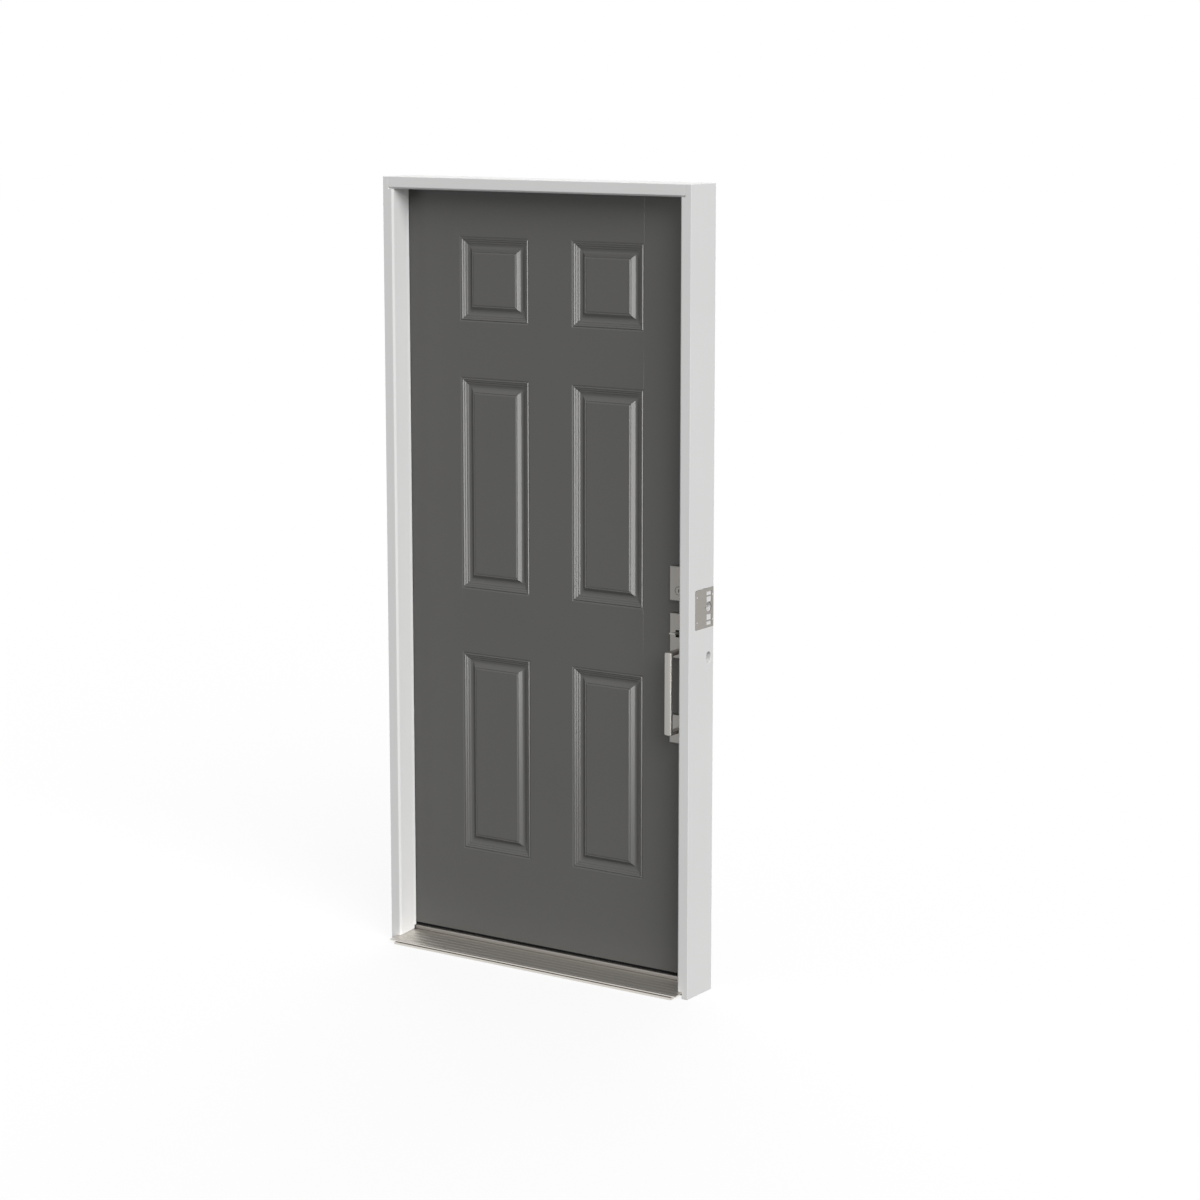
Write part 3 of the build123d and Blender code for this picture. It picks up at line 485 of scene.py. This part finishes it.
# %% Section of the moulding
BEND_STEPS = 3
MOULDING_CORNERS = {
    "border": (0.0, 0.0, 0.0),
    "quirk": (3.8, 2.0, 0.0),
    "quirk top": (5.8, 0.3, 0.0),
    "first shoulder": (6.6, 0.3, 0.8),
    "first foot": (9.6, 3.0, 0.0),
    "second shoulder": (11.6, 2.8, 0.6),
    "second foot": (14.8, 5.7, 0.0),
    "third shoulder": (16.8, 5.5, 0.6),
    "cove": (20.6, 8.4, 2.0),
    "ground": (26.0, 10.1, 3.0),
    "bevel foot": (29.6, 10.1, 9.0),
    "bevel head": (39.6, 1.6, 0.0),
    "groove": (41.6, 2.6, 0.0),
    "panel edge": (44.8, 0.5, 0.8),
    "panel": (47.0, 0.5, 0.0),
}


def bent_path(corners, radii, steps=BEND_STEPS):
    """Open path with an arc at each corner: the rounded outline, with one point each left of its two ends."""
    return rounded(corners, radii, steps)[steps - 1 : 1 - steps]


def moulding_section():
    """Points of distance inside the border and depth, in metres, with every corner of the table rounded."""
    table = np.array(list(MOULDING_CORNERS.values())) * MM
    return bent_path(table[:, :2], table[:, 2])


SECTION = moulding_section()


def moulding_depth(inset):
    """Depth at a distance inside the border, read off the section."""
    return np.interp(inset, SECTION[:, 0], SECTION[:, 1])


print("moulding section has", len(SECTION), "points, deepest", round(SECTION[:, 1].max() / MM, 1), "mm")

# %% [markdown]
# The six panels stand in two columns and three rows, a little off the slab's middle. Their places could be
# read off one by one. Here rails, panels and the mullion are listed in from the slab's edges, as a joiner
# would set them out, and the middle row takes what is left.

# %% Panel layout
PANEL_WIDTH = 220.75 * MM
MULLION_WIDTH = 133.5 * MM
LAYOUT_SHIFT = 6.0 * MM
TOP_RAIL = 130.0 * MM
TOP_PANEL = 223.0 * MM
UPPER_RAIL = 145.0 * MM
LOCK_RAIL = 170.5 * MM
BOTTOM_PANEL = 541.0 * MM
BOTTOM_RAIL = 231.75 * MM
JOINT_WIDTH = 1.4 * MM
JOINT_DEPTH = 0.35 * MM

SLAB_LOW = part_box("outside_skin")[0]
SLAB_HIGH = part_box("inside_skin")[1]


def panel_spans():
    """Low and high edges of the two columns of panels, and of the three rows from the top."""
    reach = MULLION_WIDTH / 2 + PANEL_WIDTH
    columns = [(LAYOUT_SHIFT - reach, LAYOUT_SHIFT - MULLION_WIDTH / 2)]
    columns.append((LAYOUT_SHIFT + MULLION_WIDTH / 2, LAYOUT_SHIFT + reach))
    top = SLAB_HIGH.z - TOP_RAIL
    bottom = SLAB_LOW.z + BOTTOM_RAIL
    rows = [(top - TOP_PANEL, top)]
    rows.append((bottom + BOTTOM_PANEL + LOCK_RAIL, top - TOP_PANEL - UPPER_RAIL))
    rows.append((bottom, bottom + BOTTOM_PANEL))
    return columns, rows


COLUMNS, ROWS = panel_spans()
JOINTS = (COLUMNS[0][0], COLUMNS[1][1])
print("panel rows", [tuple(round(z, 3) for z in row) for row in ROWS])

# %% [markdown]
# One skin is a height field: over a grid of X and Z lines, each point has one depth. The lines lie where
# the section bends, so flats cost no points and every bend is kept. The nearest border sets the depth, and
# that alone makes the mitres. Each cell is cut along the diagonal that follows the mitre, and walls close
# the sheet where it ends.

# %% Height field of a skin
GRID_DIGITS = 7

def grid_lines(spans, ends, extra):
    """Sorted grid lines: the section's points inwards from each span's edges, the sheet's ends, extras."""
    stops = SECTION[:, 0]
    lines = [np.concatenate([low + stops, high - stops]) for low, high in spans]
    every = np.concatenate([*lines, ends, extra])
    every = every[(every >= ends[0]) & (every <= ends[1])]
    return np.unique(np.round(every, GRID_DIGITS))


def skin_depth(x, z):
    """Depth of the sheet over a grid: mouldings of all panels, and fine joint lines at outer borders."""
    depth = np.zeros((z.size, x.size))
    for low, high in COLUMNS:
        across = np.minimum(x - low, high - x)[None, :]
        for bottom, top in ROWS:
            upright = np.minimum(z - bottom, top - z)[:, None]
            depth += moulding_depth(np.minimum(across, upright))
    above = (z > ROWS[0][1]) | ((z > ROWS[1][1]) & (z < ROWS[0][0])) | ((z > ROWS[2][1]) & (z < ROWS[1][0]))
    for border in JOINTS:
        groove = JOINT_DEPTH * np.clip(1 - np.abs(x - border) / (JOINT_WIDTH / 2), 0, 1)
        depth += above[:, None] * groove[None, :]
    return depth


def cut_cells(ids, height, keep):
    """Two triangles for each kept cell, split along the diagonal with the larger change of height."""
    a, b, c, d = ids[:-1, :-1], ids[:-1, 1:], ids[1:, 1:], ids[1:, :-1]
    rising = np.abs(height[:-1, :-1] - height[1:, 1:])
    falling = np.abs(height[:-1, 1:] - height[1:, :-1])
    first = rising >= falling
    one = np.where(first[..., None], np.stack([a, b, c], -1), np.stack([a, b, d], -1))
    two = np.where(first[..., None], np.stack([a, c, d], -1), np.stack([b, c, d], -1))
    return np.concatenate([one[keep], two[keep]])


def border_walls(front, back, keep):
    """Quads between the front and back points along each line where kept cells end."""
    held = np.pad(keep, 1)
    upright = np.argwhere(held[1:-1, :-1] != held[1:-1, 1:])
    level = np.argwhere(held[:-1, 1:-1] != held[1:, 1:-1])
    ends = [(upright, upright + (1, 0)), (level, level + (0, 1))]
    walls = []
    for start, end in ends:
        near, far = tuple(start.T), tuple(end.T)
        walls.append(np.stack([front[near], front[far], back[far], back[near]], axis=-1))
    return np.concatenate(walls)


# %% [markdown]
# Both skins come from one mould, one for the weather and one for the room. On the room side the hinge
# leaves lie in notches, so the cells there are left out. The lock edge is bevelled, as on real doors, to
# clear the jamb as the slab swings, and the sheet's last column follows that bevel.

# %% The two skins
SKIN = 3.0 * MM
MOULDING_CREASE = 24
LOCK_BEVEL = math.tan(math.radians(3.0))
LEAF_SHEET = 2.5 * MM
HINGES = ("upper", "middle", "lower")
HINGE_SPANS = [(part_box(name + "_door_leaf")[0].z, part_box(name + "_door_leaf")[1].z) for name in HINGES]
JOINT_LINES = [border + side * JOINT_WIDTH / 2 for border in JOINTS for side in (-1, 1)]


def lock_edge(y):
    """X of the bevelled lock edge at a depth: it falls back evenly from the room face."""
    return SLAB_HIGH.x - (SLAB_HIGH.y - y) * LOCK_BEVEL


def moulded_skin(name, face, inward, notched):
    """Sheet at a face, sunk inwards by its depth, closed by a copy one thickness deeper and by its rim."""
    ends = (SLAB_LOW.x, lock_edge(face))
    x = grid_lines(COLUMNS, ends, JOINT_LINES + [SLAB_LOW.x + LEAF_SHEET])
    z = grid_lines(ROWS, (SLAB_LOW.z, SLAB_HIGH.z), np.array(HINGE_SPANS).ravel())
    depth = skin_depth(x, z)
    layers = []
    for sheet in (0, SKIN):
        y = face + inward * (depth + sheet)
        place_x = np.broadcast_to(x, y.shape).copy()
        place_x[:, -1] = lock_edge(y[:, -1])
        layers.append(np.stack([place_x, y, np.broadcast_to(z[:, None], y.shape)], axis=-1))
    keep = np.ones((z.size - 1, x.size - 1), bool)
    if notched:
        middle_z = (z[1:] + z[:-1]) / 2
        beside = np.any([(middle_z > low) & (middle_z < high) for low, high in HINGE_SPANS], axis=0)
        keep[np.ix_(beside, x[:-1] < SLAB_LOW.x + LEAF_SHEET - SEAM)] = False
    front = np.arange(depth.size).reshape(depth.shape)
    back = front + depth.size
    faces = [cut_cells(front, depth, keep), cut_cells(back, depth, keep), border_walls(front, back, keep)]
    points = np.concatenate(layers)
    options = {"crease": MOULDING_CREASE, "replaces": (name,)}
    return new_piece(name + "_moulded", points, faces, "door", "grey_fiberglass", **options)


moulded_skin("outside_skin", SLAB_LOW.y, 1, False)
moulded_skin("inside_skin", SLAB_HIGH.y, -1, True)

# %% [markdown]
# The weather seal is a soft bulb pushed into the rabbet, so its edges are round. A rounded outline is
# carried along each seal, and the two ends are closed with a face each.

# %% Bulb seals
SEAL_ROUND = 2.6 * MM
AXES = {"x": 0, "y": 1, "z": 2}


def carried(outline, along, span, across):
    """Prism: an outline on two axes carried along the third, with both ends closed."""
    count = len(outline)
    points = np.zeros((2, count, 3))
    points[:, :, AXES[across[0]]] = outline[:, 0]
    points[:, :, AXES[across[1]]] = outline[:, 1]
    points[:, :, AXES[along]] = np.array(span)[:, None]
    ends = [np.arange(count)[None, :], np.arange(count, 2 * count)[None, :]]
    return points, [grid_faces(2, count, ring_columns=True), *ends]


def bulb_seal(node, along, across):
    """Seal as long as its solid, with all four edges of its section rounded."""
    low, high = (np.array(corner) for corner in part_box(node))
    a, b, c = AXES[across[0]], AXES[across[1]], AXES[along]
    corners = [(low[a], low[b]), (high[a], low[b]), (high[a], high[b]), (low[a], high[b])]
    points, faces = carried(rounded(corners, SEAL_ROUND), along, (low[c], high[c]), across)
    new_piece(node + "_bulb", points, faces, BODY_OF[node], "pale_seal", replaces=(node,))


bulb_seal("hinge_side_seal", "z", "xy")
bulb_seal("lock_side_seal", "z", "xy")
bulb_seal("head_seal", "x", "yz")

# %% [markdown]
# Under the slab hangs a vinyl sweep. Its stiff part is a solid piece, but its soft fins reach further down
# and almost brush the threshold, which is why the gap under a closed door looks black. Each fin is a narrow
# outline with a round foot, carried along the slab.

# %% Fins of the door sweep
FIN_COUNT = 4
FIN_WIDTH = 2.0 * MM
FIN_ROUND = 0.8 * MM
FIN_GAP = 0.6 * MM
FIN_SEAT = 1.0 * MM


def sweep_fins():
    """Fins spread over the sweep's depth, from a little inside it down to just above the threshold."""
    low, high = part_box("door_sweep")
    foot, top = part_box("threshold_cap")[1].z + FIN_GAP, low.z + FIN_SEAT
    every_point, every_face = [], []
    for number, y in enumerate(np.linspace(low.y, high.y - FIN_WIDTH, FIN_COUNT)):
        corners = [(y, foot), (y + FIN_WIDTH, foot), (y + FIN_WIDTH, top), (y, top)]
        outline = rounded(corners, (FIN_ROUND, FIN_ROUND, 0, 0))
        points, faces = carried(outline, "x", (low.x, high.x), "yz")
        every_point.append(points.reshape(-1, 3))
        every_face += [face + number * points.size // 3 for face in faces]
    new_piece("door_sweep_fins", np.concatenate(every_point), every_face, "door", "black_vinyl")


sweep_fins()

# %% [markdown]
# The sill is an aluminium extrusion. Its deck falls to the outside and has soft ribs along its length. In
# front, a deep slot under the lip shows as a dark line. The section's top is a slope plus a row of sine
# arches, and the rest of the outline is a handful of corners. It is carried along the sill: whole between
# the stops, and without its lower nose at the ends, which run under the jambs.

# %% Sill deck
RIB_COUNT = 5
RIB_POINTS = 16
RIB_RISE = 1.0 * MM
RIB_POWER = 0.5
RIB_MARGIN = 6.0 * MM
DECK_FALL = math.tan(math.radians(5.5))
DECK_FRONT = 14.0 * MM
DECK_SHEET = 2.5 * MM
CAP_GAP = 3.0 * MM
NOSE_LIP = 3.0 * MM
SLOT_HEIGHT = 3.0 * MM
SLOT_DEPTH = 12.0 * MM
NOSE_DEPTH = 15.0 * MM
DECK_CREASE = 20


def deck_sections():
    """Outlines in Y and Z with the nose and of the sheet alone; the top is a slope plus sine arches."""
    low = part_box("sill_deck")[0]
    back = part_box("threshold_cap")[0].y - CAP_GAP
    share = np.linspace(0, 1, RIB_COUNT * RIB_POINTS + 1)
    y = np.concatenate([[low.y], low.y + RIB_MARGIN + (back - low.y - 2 * RIB_MARGIN) * share, [back]])
    wave = np.concatenate([[0], np.abs(np.sin(np.pi * RIB_COUNT * share)) ** RIB_POWER, [0]])
    top = np.stack([y, DECK_FRONT + (y - low.y) * DECK_FALL + RIB_RISE * wave], axis=-1)
    lip, under = DECK_FRONT - NOSE_LIP, DECK_FRONT - DECK_SHEET
    rear = (back, under + (back - low.y) * DECK_FALL)
    inner, deep, slot = low.y + NOSE_DEPTH, low.y + SLOT_DEPTH, lip - SLOT_HEIGHT
    nose = [(inner, under + NOSE_DEPTH * DECK_FALL), (inner, low.z), (low.y, low.z), (low.y, slot)]
    nose += [(deep, slot), (deep, lip), (low.y, lip)]
    return np.array([*top, rear, *nose]), np.array([*top, rear, nose[0], (low.y, lip)])


def make_deck():
    """Three lengths of the two sections, joined in one piece."""
    low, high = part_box("sill_deck")
    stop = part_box("strike_jamb")[0].x
    whole, sheet = deck_sections()
    every_point, every_face, count = [], [], 0
    for outline, span in ((whole, (-stop, stop)), (sheet, (low.x, -stop)), (sheet, (stop, high.x))):
        points, faces = carried(outline, "x", span, "yz")
        every_point.append(points.reshape(-1, 3))
        every_face += [face + count for face in faces]
        count += 2 * len(outline)
    points = np.concatenate(every_point)
    options = {"crease": DECK_CREASE, "replaces": ("sill_deck",)}
    new_piece("sill_deck_ribbed", points, every_face, "frame", "sill_aluminium", **options)


make_deck()

# %% [markdown]
# No real edge is a perfect corner: sawn, extruded and cast pieces all have a small round that catches the
# light. Most pieces of the solid model have the right shape and only lack that round. It could be modelled
# edge by edge. Instead each is copied, its loose triangles are merged, its flat areas are joined, and a
# Bevel modifier rounds every edge that is sharper than thirty degrees. Wood gets a wide round, sheet metal
# a narrow one.

# %% Softened copies of the solid pieces
FLAT_ANGLE = math.radians(0.4)
BEVEL_ANGLE = math.radians(30)
BEVEL_SEGMENTS = 2
STRAIGHT, CURVED = 3, 32
FRAME_ROUND = 1.2 * MM
SLAB_ROUND = 0.4 * MM
CAP_ROUND = 0.25 * MM
PLATE_ROUND = 0.8 * MM
FITTING_ROUND = 0.4 * MM
SHEET_ROUND = 0.3 * MM


def softened(node, width, crease, material=None):
    """Copy of a solid piece with its triangles merged, its flats joined and its sharp edges rounded."""
    shape = bmesh.new()
    shape.from_mesh(NODES[node].data)
    bmesh.ops.remove_doubles(shape, verts=shape.verts, dist=2 * SEAM)
    bmesh.ops.dissolve_limit(shape, angle_limit=FLAT_ANGLE, verts=shape.verts, edges=shape.edges)
    mesh = bpy.data.meshes.new(node + "_softened")
    shape.to_mesh(mesh)
    shape.free()
    stored_normals = mesh.attributes.get("custom_normal")
    if stored_normals:
        mesh.attributes.remove(stored_normals)
    slot = SLOT_OF[node]
    piece = place_mesh(mesh.name, mesh, crease, BODY_OF[node], slot, material, replaces=(node,))
    bevel = piece.modifiers.new("edge_round", "BEVEL")
    bevel.width = width
    bevel.segments = BEVEL_SEGMENTS
    bevel.limit_method = "ANGLE"
    bevel.angle_limit = BEVEL_ANGLE
    bevel.use_clamp_overlap = False
    bevel.harden_normals = True
    return piece


for node in ("hinge_jamb", "strike_jamb", "head_jamb"):
    softened(node, FRAME_ROUND, STRAIGHT)
for node in ("hinge_stile", "lock_stile", "top_rail", "bottom_rail", "sill_substrate", "door_sweep"):
    softened(node, SLAB_ROUND, STRAIGHT)
softened("threshold_cap", CAP_ROUND, STRAIGHT, DULL_ALUMINIUM)
for node in ("lock_cover", "handle_plate", "grip_foot_plate", "inside_lock_cover", "inside_rose"):
    softened(node, PLATE_ROUND, CURVED)
for node in ("inside_lever", "thumb_turn", "key_cylinder", "latch_bolt", "dead_bolt"):
    softened(node, FITTING_ROUND, CURVED)
for node in ("latch_strike", "bolt_strike"):
    softened(node, SHEET_ROUND, CURVED, PLATED_STEEL)
NODES["strike_backing_plate"].data.materials[0] = PLATED_STEEL
for node in ("latch_bolt_faceplate", "dead_bolt_faceplate"):
    softened(node, SHEET_ROUND, CURVED)
for name in HINGES:
    softened(name + "_frame_leaf", SHEET_ROUND, CURVED)
    softened(name + "_door_leaf", SHEET_ROUND, CURVED)

# %% [markdown]
# The grip is a square bar, cast in one with an arm at each end, crowned in front so that it is kind to the
# hand. A box with bevels would stay flat. Here a section is carried between two outlines, an outer and an
# inner one that have the same number of points: the section is a superellipse, and its outer half bulges
# towards the middle.

# %% Grip
SECTION_STEPS = 48
SECTION_POWER = 0.05
GRIP_BAR = 10.0 * MM
GRIP_ROUND = 3.5 * MM
GRIP_ARCH = 8.0 * MM
GRIP_CROWN = 0.14
GRIP_STEPS = 9


def superellipse():
    """Closed section between -1 and 1: cosine and sine of a turning angle, raised to a power below one."""
    angle = np.linspace(0, 2 * np.pi, SECTION_STEPS, endpoint=False)
    across, out = np.cos(angle), np.sin(angle)
    return np.stack([np.sign(v) * np.abs(v) ** SECTION_POWER for v in (across, out)], axis=-1)


def limb(outer, inner, half_width, middle_x, crown):
    """Sections stretched from an inner to an outer path in Y and Z, lower by the crown at their sides."""
    section = superellipse()
    across = section[:, 0]
    share = (section[:, 1] + 1) / 2
    share = share * (1 - crown * across**2)
    place = inner[:, None, :] + share[None, :, None] * (outer - inner)[:, None, :]
    x = middle_x + np.asarray(half_width)[..., None] * across
    x = np.broadcast_to(x, place.shape[:2])
    points = np.concatenate([x[..., None], place], axis=-1)
    count = len(outer)
    first = np.arange(SECTION_STEPS)[None, :]
    ends = [first, first + (count - 1) * SECTION_STEPS]
    return points, [grid_faces(count, SECTION_STEPS, ring_columns=True), *ends]


def square_path(low, high, inset, radius):
    """Path from the plate out to the front, down the bar and back, drawn in by an inset."""
    front, back = low.y + inset, high.y
    top, bottom = high.z - inset, low.z + inset
    corners = [(back, top), (front, top), (front, bottom), (back, bottom)]
    return bent_path(corners, (0, radius, radius, 0), GRIP_STEPS)


def make_grip():
    """Grip that fills its solid's box, with rounded outer corners and arched inner ones."""
    low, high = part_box("grip")
    outer = square_path(low, high, 0, GRIP_ROUND)
    inner = square_path(low, high, GRIP_BAR, GRIP_ARCH)
    half = (high.x - low.x) / 2
    points, faces = limb(outer, inner, np.full(len(outer), half), (low.x + high.x) / 2, GRIP_CROWN)
    # The grip takes the lighter nickel with its painted highlight, not the plain satin nickel of its slot.
    options = {"material": SATIN_NICKEL_PAINTED_LIGHT, "replaces": ("grip",)}
    new_piece("grip_crowned", points, faces, "door", "satin_nickel", **options)


make_grip()

# %% [markdown]
# The thumb piece is a thin blade that swells into a neck before it goes through the plate, so its underside
# is hollow. It uses the same carried section: both outlines are curves of the distance from the pivot.

# %% Thumb piece
THUMB_WIDTH = 18.0 * MM
THUMB_STATIONS = 32
STATION_POWER = 0.8
THUMB_TIP = 3.4 * MM
THUMB_NECK = 6.5 * MM
NECK_POWER = 2.4
ROOT_RISE = 1.0 * MM
ROOT_REACH = 0.03
CURL_START = 0.45
TIP_ROUND = 0.03
TIP_CUT = 0.8


def make_thumb_piece():
    """Blade: neck and root are powers of what is left to the tip, the tip curls up with a square."""
    low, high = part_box("thumb_piece")
    pivot = next(joint["pos_m"] for joint in frame["joints"] if joint["name"] == "thumb_press")
    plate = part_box("handle_plate")[0].y
    share = np.linspace(0, 1, THUMB_STATIONS) ** STATION_POWER
    y = pivot[1] + (low.y - pivot[1]) * share
    from_plate = share - (pivot[1] - plate) / (pivot[1] - low.y)
    root = ROOT_RISE * np.clip(1 - from_plate / ROOT_REACH, 0, 1) ** 2
    curl = np.clip((share - CURL_START) / (1 - CURL_START), 0, 1) ** 2
    level = pivot[2] + THUMB_TIP * (1 - curl) + (high.z - pivot[2]) * curl
    bottom = level - THUMB_TIP - THUMB_NECK * (1 - share) ** NECK_POWER
    tip = np.clip((share - 1 + TIP_ROUND) / TIP_ROUND, 0, TIP_CUT)
    half = THUMB_WIDTH / 2 * np.sqrt(1 - tip**2)
    outer = np.stack([y, level + np.minimum(root, ROOT_RISE)], axis=-1)
    inner = np.stack([y, bottom], axis=-1)
    points, faces = limb(outer, inner, half, pivot[0], 0)
    # The thumb piece also takes the lighter nickel with its painted highlight.
    options = {"material": SATIN_NICKEL_PAINTED_LIGHT, "replaces": ("thumb_piece",)}
    new_piece("thumb_piece_blade", points, faces, "thumb", "satin_nickel", **options)


make_thumb_piece()

# %% [markdown]
# Turned pieces come off a lathe: the hinge pins with their buttons, and the collar round the key cylinder.
# Each is a profile of radius and height, turned about its axis. The profile's corners are rounded first.

# %% Hinge pins and key collar
TURN_STEPS = 40
PIN_RADIUS = 3.5 * MM
BUTTON_HEIGHT = 3.0 * MM
BUTTON_ROUND = 1.6 * MM
COLLAR_GAP = 1.1 * MM
COLLAR_WIDTH = 1.3 * MM
COLLAR_HEIGHT = 1.4 * MM
COLLAR_ROUND = 0.5 * MM


def turned(profile, centre, axis):
    """Profile turned about an axis: radius times cosine and sine, and height along the axis."""
    angle = np.linspace(0, 2 * np.pi, TURN_STEPS, endpoint=False)[:, None]
    radius, height = profile[:, 0], profile[:, 1]
    first, second = [number for number in range(3) if number != AXES[axis]]
    points = np.zeros((TURN_STEPS, len(profile), 3))
    points[..., first] = centre[first] + radius * np.cos(angle)
    points[..., second] = centre[second] + radius * np.sin(angle)
    points[..., AXES[axis]] = height
    return points


def make_pin(node):
    """Pin as long as its solid, with a rounded button at each end."""
    low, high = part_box(node)
    centre = (low + high) / 2
    button = (high.x - low.x) / 2
    foot, head = low.z + BUTTON_HEIGHT, high.z - BUTTON_HEIGHT
    corners = [(0, low.z), (button, low.z), (button, foot), (PIN_RADIUS, foot)]
    corners += [(PIN_RADIUS, head), (button, head), (button, high.z), (0, high.z)]
    profile = rounded(corners, (0, BUTTON_ROUND, 0, 0, 0, 0, BUTTON_ROUND, 0))
    points = turned(profile, centre, "z")
    faces = [grid_faces(TURN_STEPS, len(profile), ring_rows=True)]
    new_piece(node + "_turned", points, faces, BODY_OF[node], "satin_nickel", replaces=(node,))


def make_collar():
    """Ring on the lock cover, round the key cylinder, with a dark gap between the two."""
    low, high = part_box("key_cylinder")
    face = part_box("lock_cover")[0].y
    inside = (high.x - low.x) / 2 + COLLAR_GAP
    outside = inside + COLLAR_WIDTH
    front = face - COLLAR_HEIGHT
    corners = [(inside, face), (inside, front), (outside, front), (outside, face)]
    profile = rounded(corners, (0, COLLAR_ROUND, COLLAR_ROUND, 0))
    points = turned(profile, (low + high) / 2, "y")
    faces = [grid_faces(TURN_STEPS, len(profile), ring_rows=True, ring_columns=True)]
    new_piece("key_collar", points, faces, "door", "satin_nickel")


for name in HINGES:
    make_pin(name + "_hinge_pin")
make_collar()

# %% [markdown]
# The backing plate on the frame's outer side is thin, so white frame shows through its small holes. Short
# turned plugs bring the frame up in them.

# %% Frame that shows in the backing plate's holes
PLUG_RADIUS = 2.1 * MM
PLUG_DEPTH = 0.05 * MM
PLUG_LENGTH = 1.4 * MM
HOLE_FRONT = 8.7 * MM
HOLE_REAR = 4.5 * MM
HOLE_END = 18.8 * MM


def make_plugs():
    """Four discs just below the plate's face, at the places of its screw holes, turned about X."""
    low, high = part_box("strike_backing_plate")
    face, back = high.x - PLUG_DEPTH, high.x - PLUG_DEPTH - PLUG_LENGTH
    profile = np.array([(0, back), (PLUG_RADIUS, back), (PLUG_RADIUS, face), (0, face)])
    faces = grid_faces(TURN_STEPS, len(profile), ring_rows=True)
    across = (low.y + HOLE_FRONT, high.y - HOLE_REAR)
    upright = (low.z + HOLE_END, high.z - HOLE_END)
    places = [(y, z) for y in across for z in upright]
    points = np.stack([turned(profile, (0, y, z), "x") for y, z in places])
    every_face = faces[None] + np.arange(len(places))[:, None, None] * points[0].size // 3
    new_piece("strike_jamb_plugs", points, [every_face.reshape(-1, 4)], "frame", "white_frame")


make_plugs()

# %% [markdown]
# Screws hold the hinge leaves, the strikes and the faceplates. One head is a small grid of rings and
# spokes. The second ring follows a star, which makes the cross recess: inside the star the surface lies
# deeper. All heads on a plate are copies of that grid, moved by adding their places, so a plate's screws
# are one mesh.

# %% Screws
HEAD_RADIUS = 4.0 * MM
HEAD_PROUD = 0.35 * MM
RECESS_DEPTH = 1.1 * MM
STAR_CORE = 0.75 * MM
STAR_ARM = 1.75 * MM
STAR_POWER = 8
STAR_FLOOR = 0.8
SPOKES = 48
LEAF_FLAT = 38.0 * MM
LEAF_SCREWS_Z = np.array([-38.0, -13.0, 13.0, 38.0]) * MM
LEAF_SCREWS_Y = np.array([8.0, -7.0, -7.0, 8.0]) * MM
STRIKE_SCREW = 27.5 * MM
FACEPLATE_SCREW = 22.0 * MM


def screw_head():
    """Rings and spokes of one head: sideways offsets, upward offsets and heights above the plate."""
    spoke = np.linspace(0, 2 * np.pi, SPOKES, endpoint=False)[:, None]
    star = STAR_CORE + STAR_ARM * np.cos(2 * spoke) ** STAR_POWER
    rim = np.full_like(star, HEAD_RADIUS)
    radius = np.concatenate([0 * star, STAR_FLOOR * star, star, rim - HEAD_PROUD, rim, rim], axis=1)
    height = HEAD_PROUD - np.array([RECESS_DEPTH, RECESS_DEPTH, 0, 0, HEAD_PROUD / 2, HEAD_PROUD * 2])
    return radius * np.cos(spoke), radius * np.sin(spoke), np.broadcast_to(height, radius.shape)


def add_screws(node, face, facing, places):
    """Heads at places of Y and Z on a plate whose face is a function of Y; facing is +1 or -1 along X."""
    side, up, height = screw_head()
    y = places[:, 0, None, None] + side
    z = places[:, 1, None, None] + up
    points = np.stack([face(y) + facing * height, y, z], axis=-1)
    one = grid_faces(*side.shape, ring_rows=True)
    faces = one[None] + np.arange(len(places))[:, None, None] * side.size
    new_piece(node + "_screws", points, [faces.reshape(-1, 4)], BODY_OF[node], "satin_nickel")


def plate_middle(node):
    """Middle of a plate in Y and Z."""
    low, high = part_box(node)
    return np.array([(low.y + high.y) / 2, (low.z + high.z) / 2])


def leaf_places(node):
    """Four places on a leaf, staggered, on the flat part beside the knuckle."""
    low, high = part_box(node)
    middle = low.y + LEAF_FLAT / 2
    return np.stack([middle + LEAF_SCREWS_Y, (low.z + high.z) / 2 + LEAF_SCREWS_Z], axis=-1)


def pair_places(node, reach):
    """Two places, above and below a plate's middle."""
    return plate_middle(node) + np.array([[0, -reach], [0, reach]])


def flat_face(x):
    """Face of a plate that stands square: the same X at every Y."""
    return lambda y: np.full_like(y, x)


FRAME_FACE = -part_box("latch_strike")[0].x
for name in HINGES:
    for leaf, x, facing in ((name + "_frame_leaf", FRAME_FACE, 1), (name + "_door_leaf", SLAB_LOW.x, -1)):
        add_screws(leaf, flat_face(x), facing, leaf_places(leaf))
for node in ("latch_strike", "bolt_strike"):
    add_screws(node, flat_face(-FRAME_FACE), -1, pair_places(node, STRIKE_SCREW))
for node in ("latch_bolt_faceplate", "dead_bolt_faceplate"):
    add_screws(node, lock_edge, 1, pair_places(node, FACEPLATE_SCREW))

# %% [markdown]
# In a studio, black flags keep the strip box off the pieces that it would burn out, such as plates and
# hinge leaves. Here the lamp names the pieces that it lights: the skins, whose mouldings need its line, and
# the grip.

# %% Flags for the strip box
LIT_BY_STRIP = ("outside_skin_moulded", "inside_skin_moulded", "grip_crowned")


def flag_strip_box():
    """Limit the strip box to the listed pieces."""
    lit = bpy.data.collections.new("lit_by_strip_box")
    for name in LIT_BY_STRIP:
        lit.objects.link(bpy.data.objects[name])
    bpy.data.objects["strip_box"].light_linking.receiver_collection = lit


flag_strip_box()
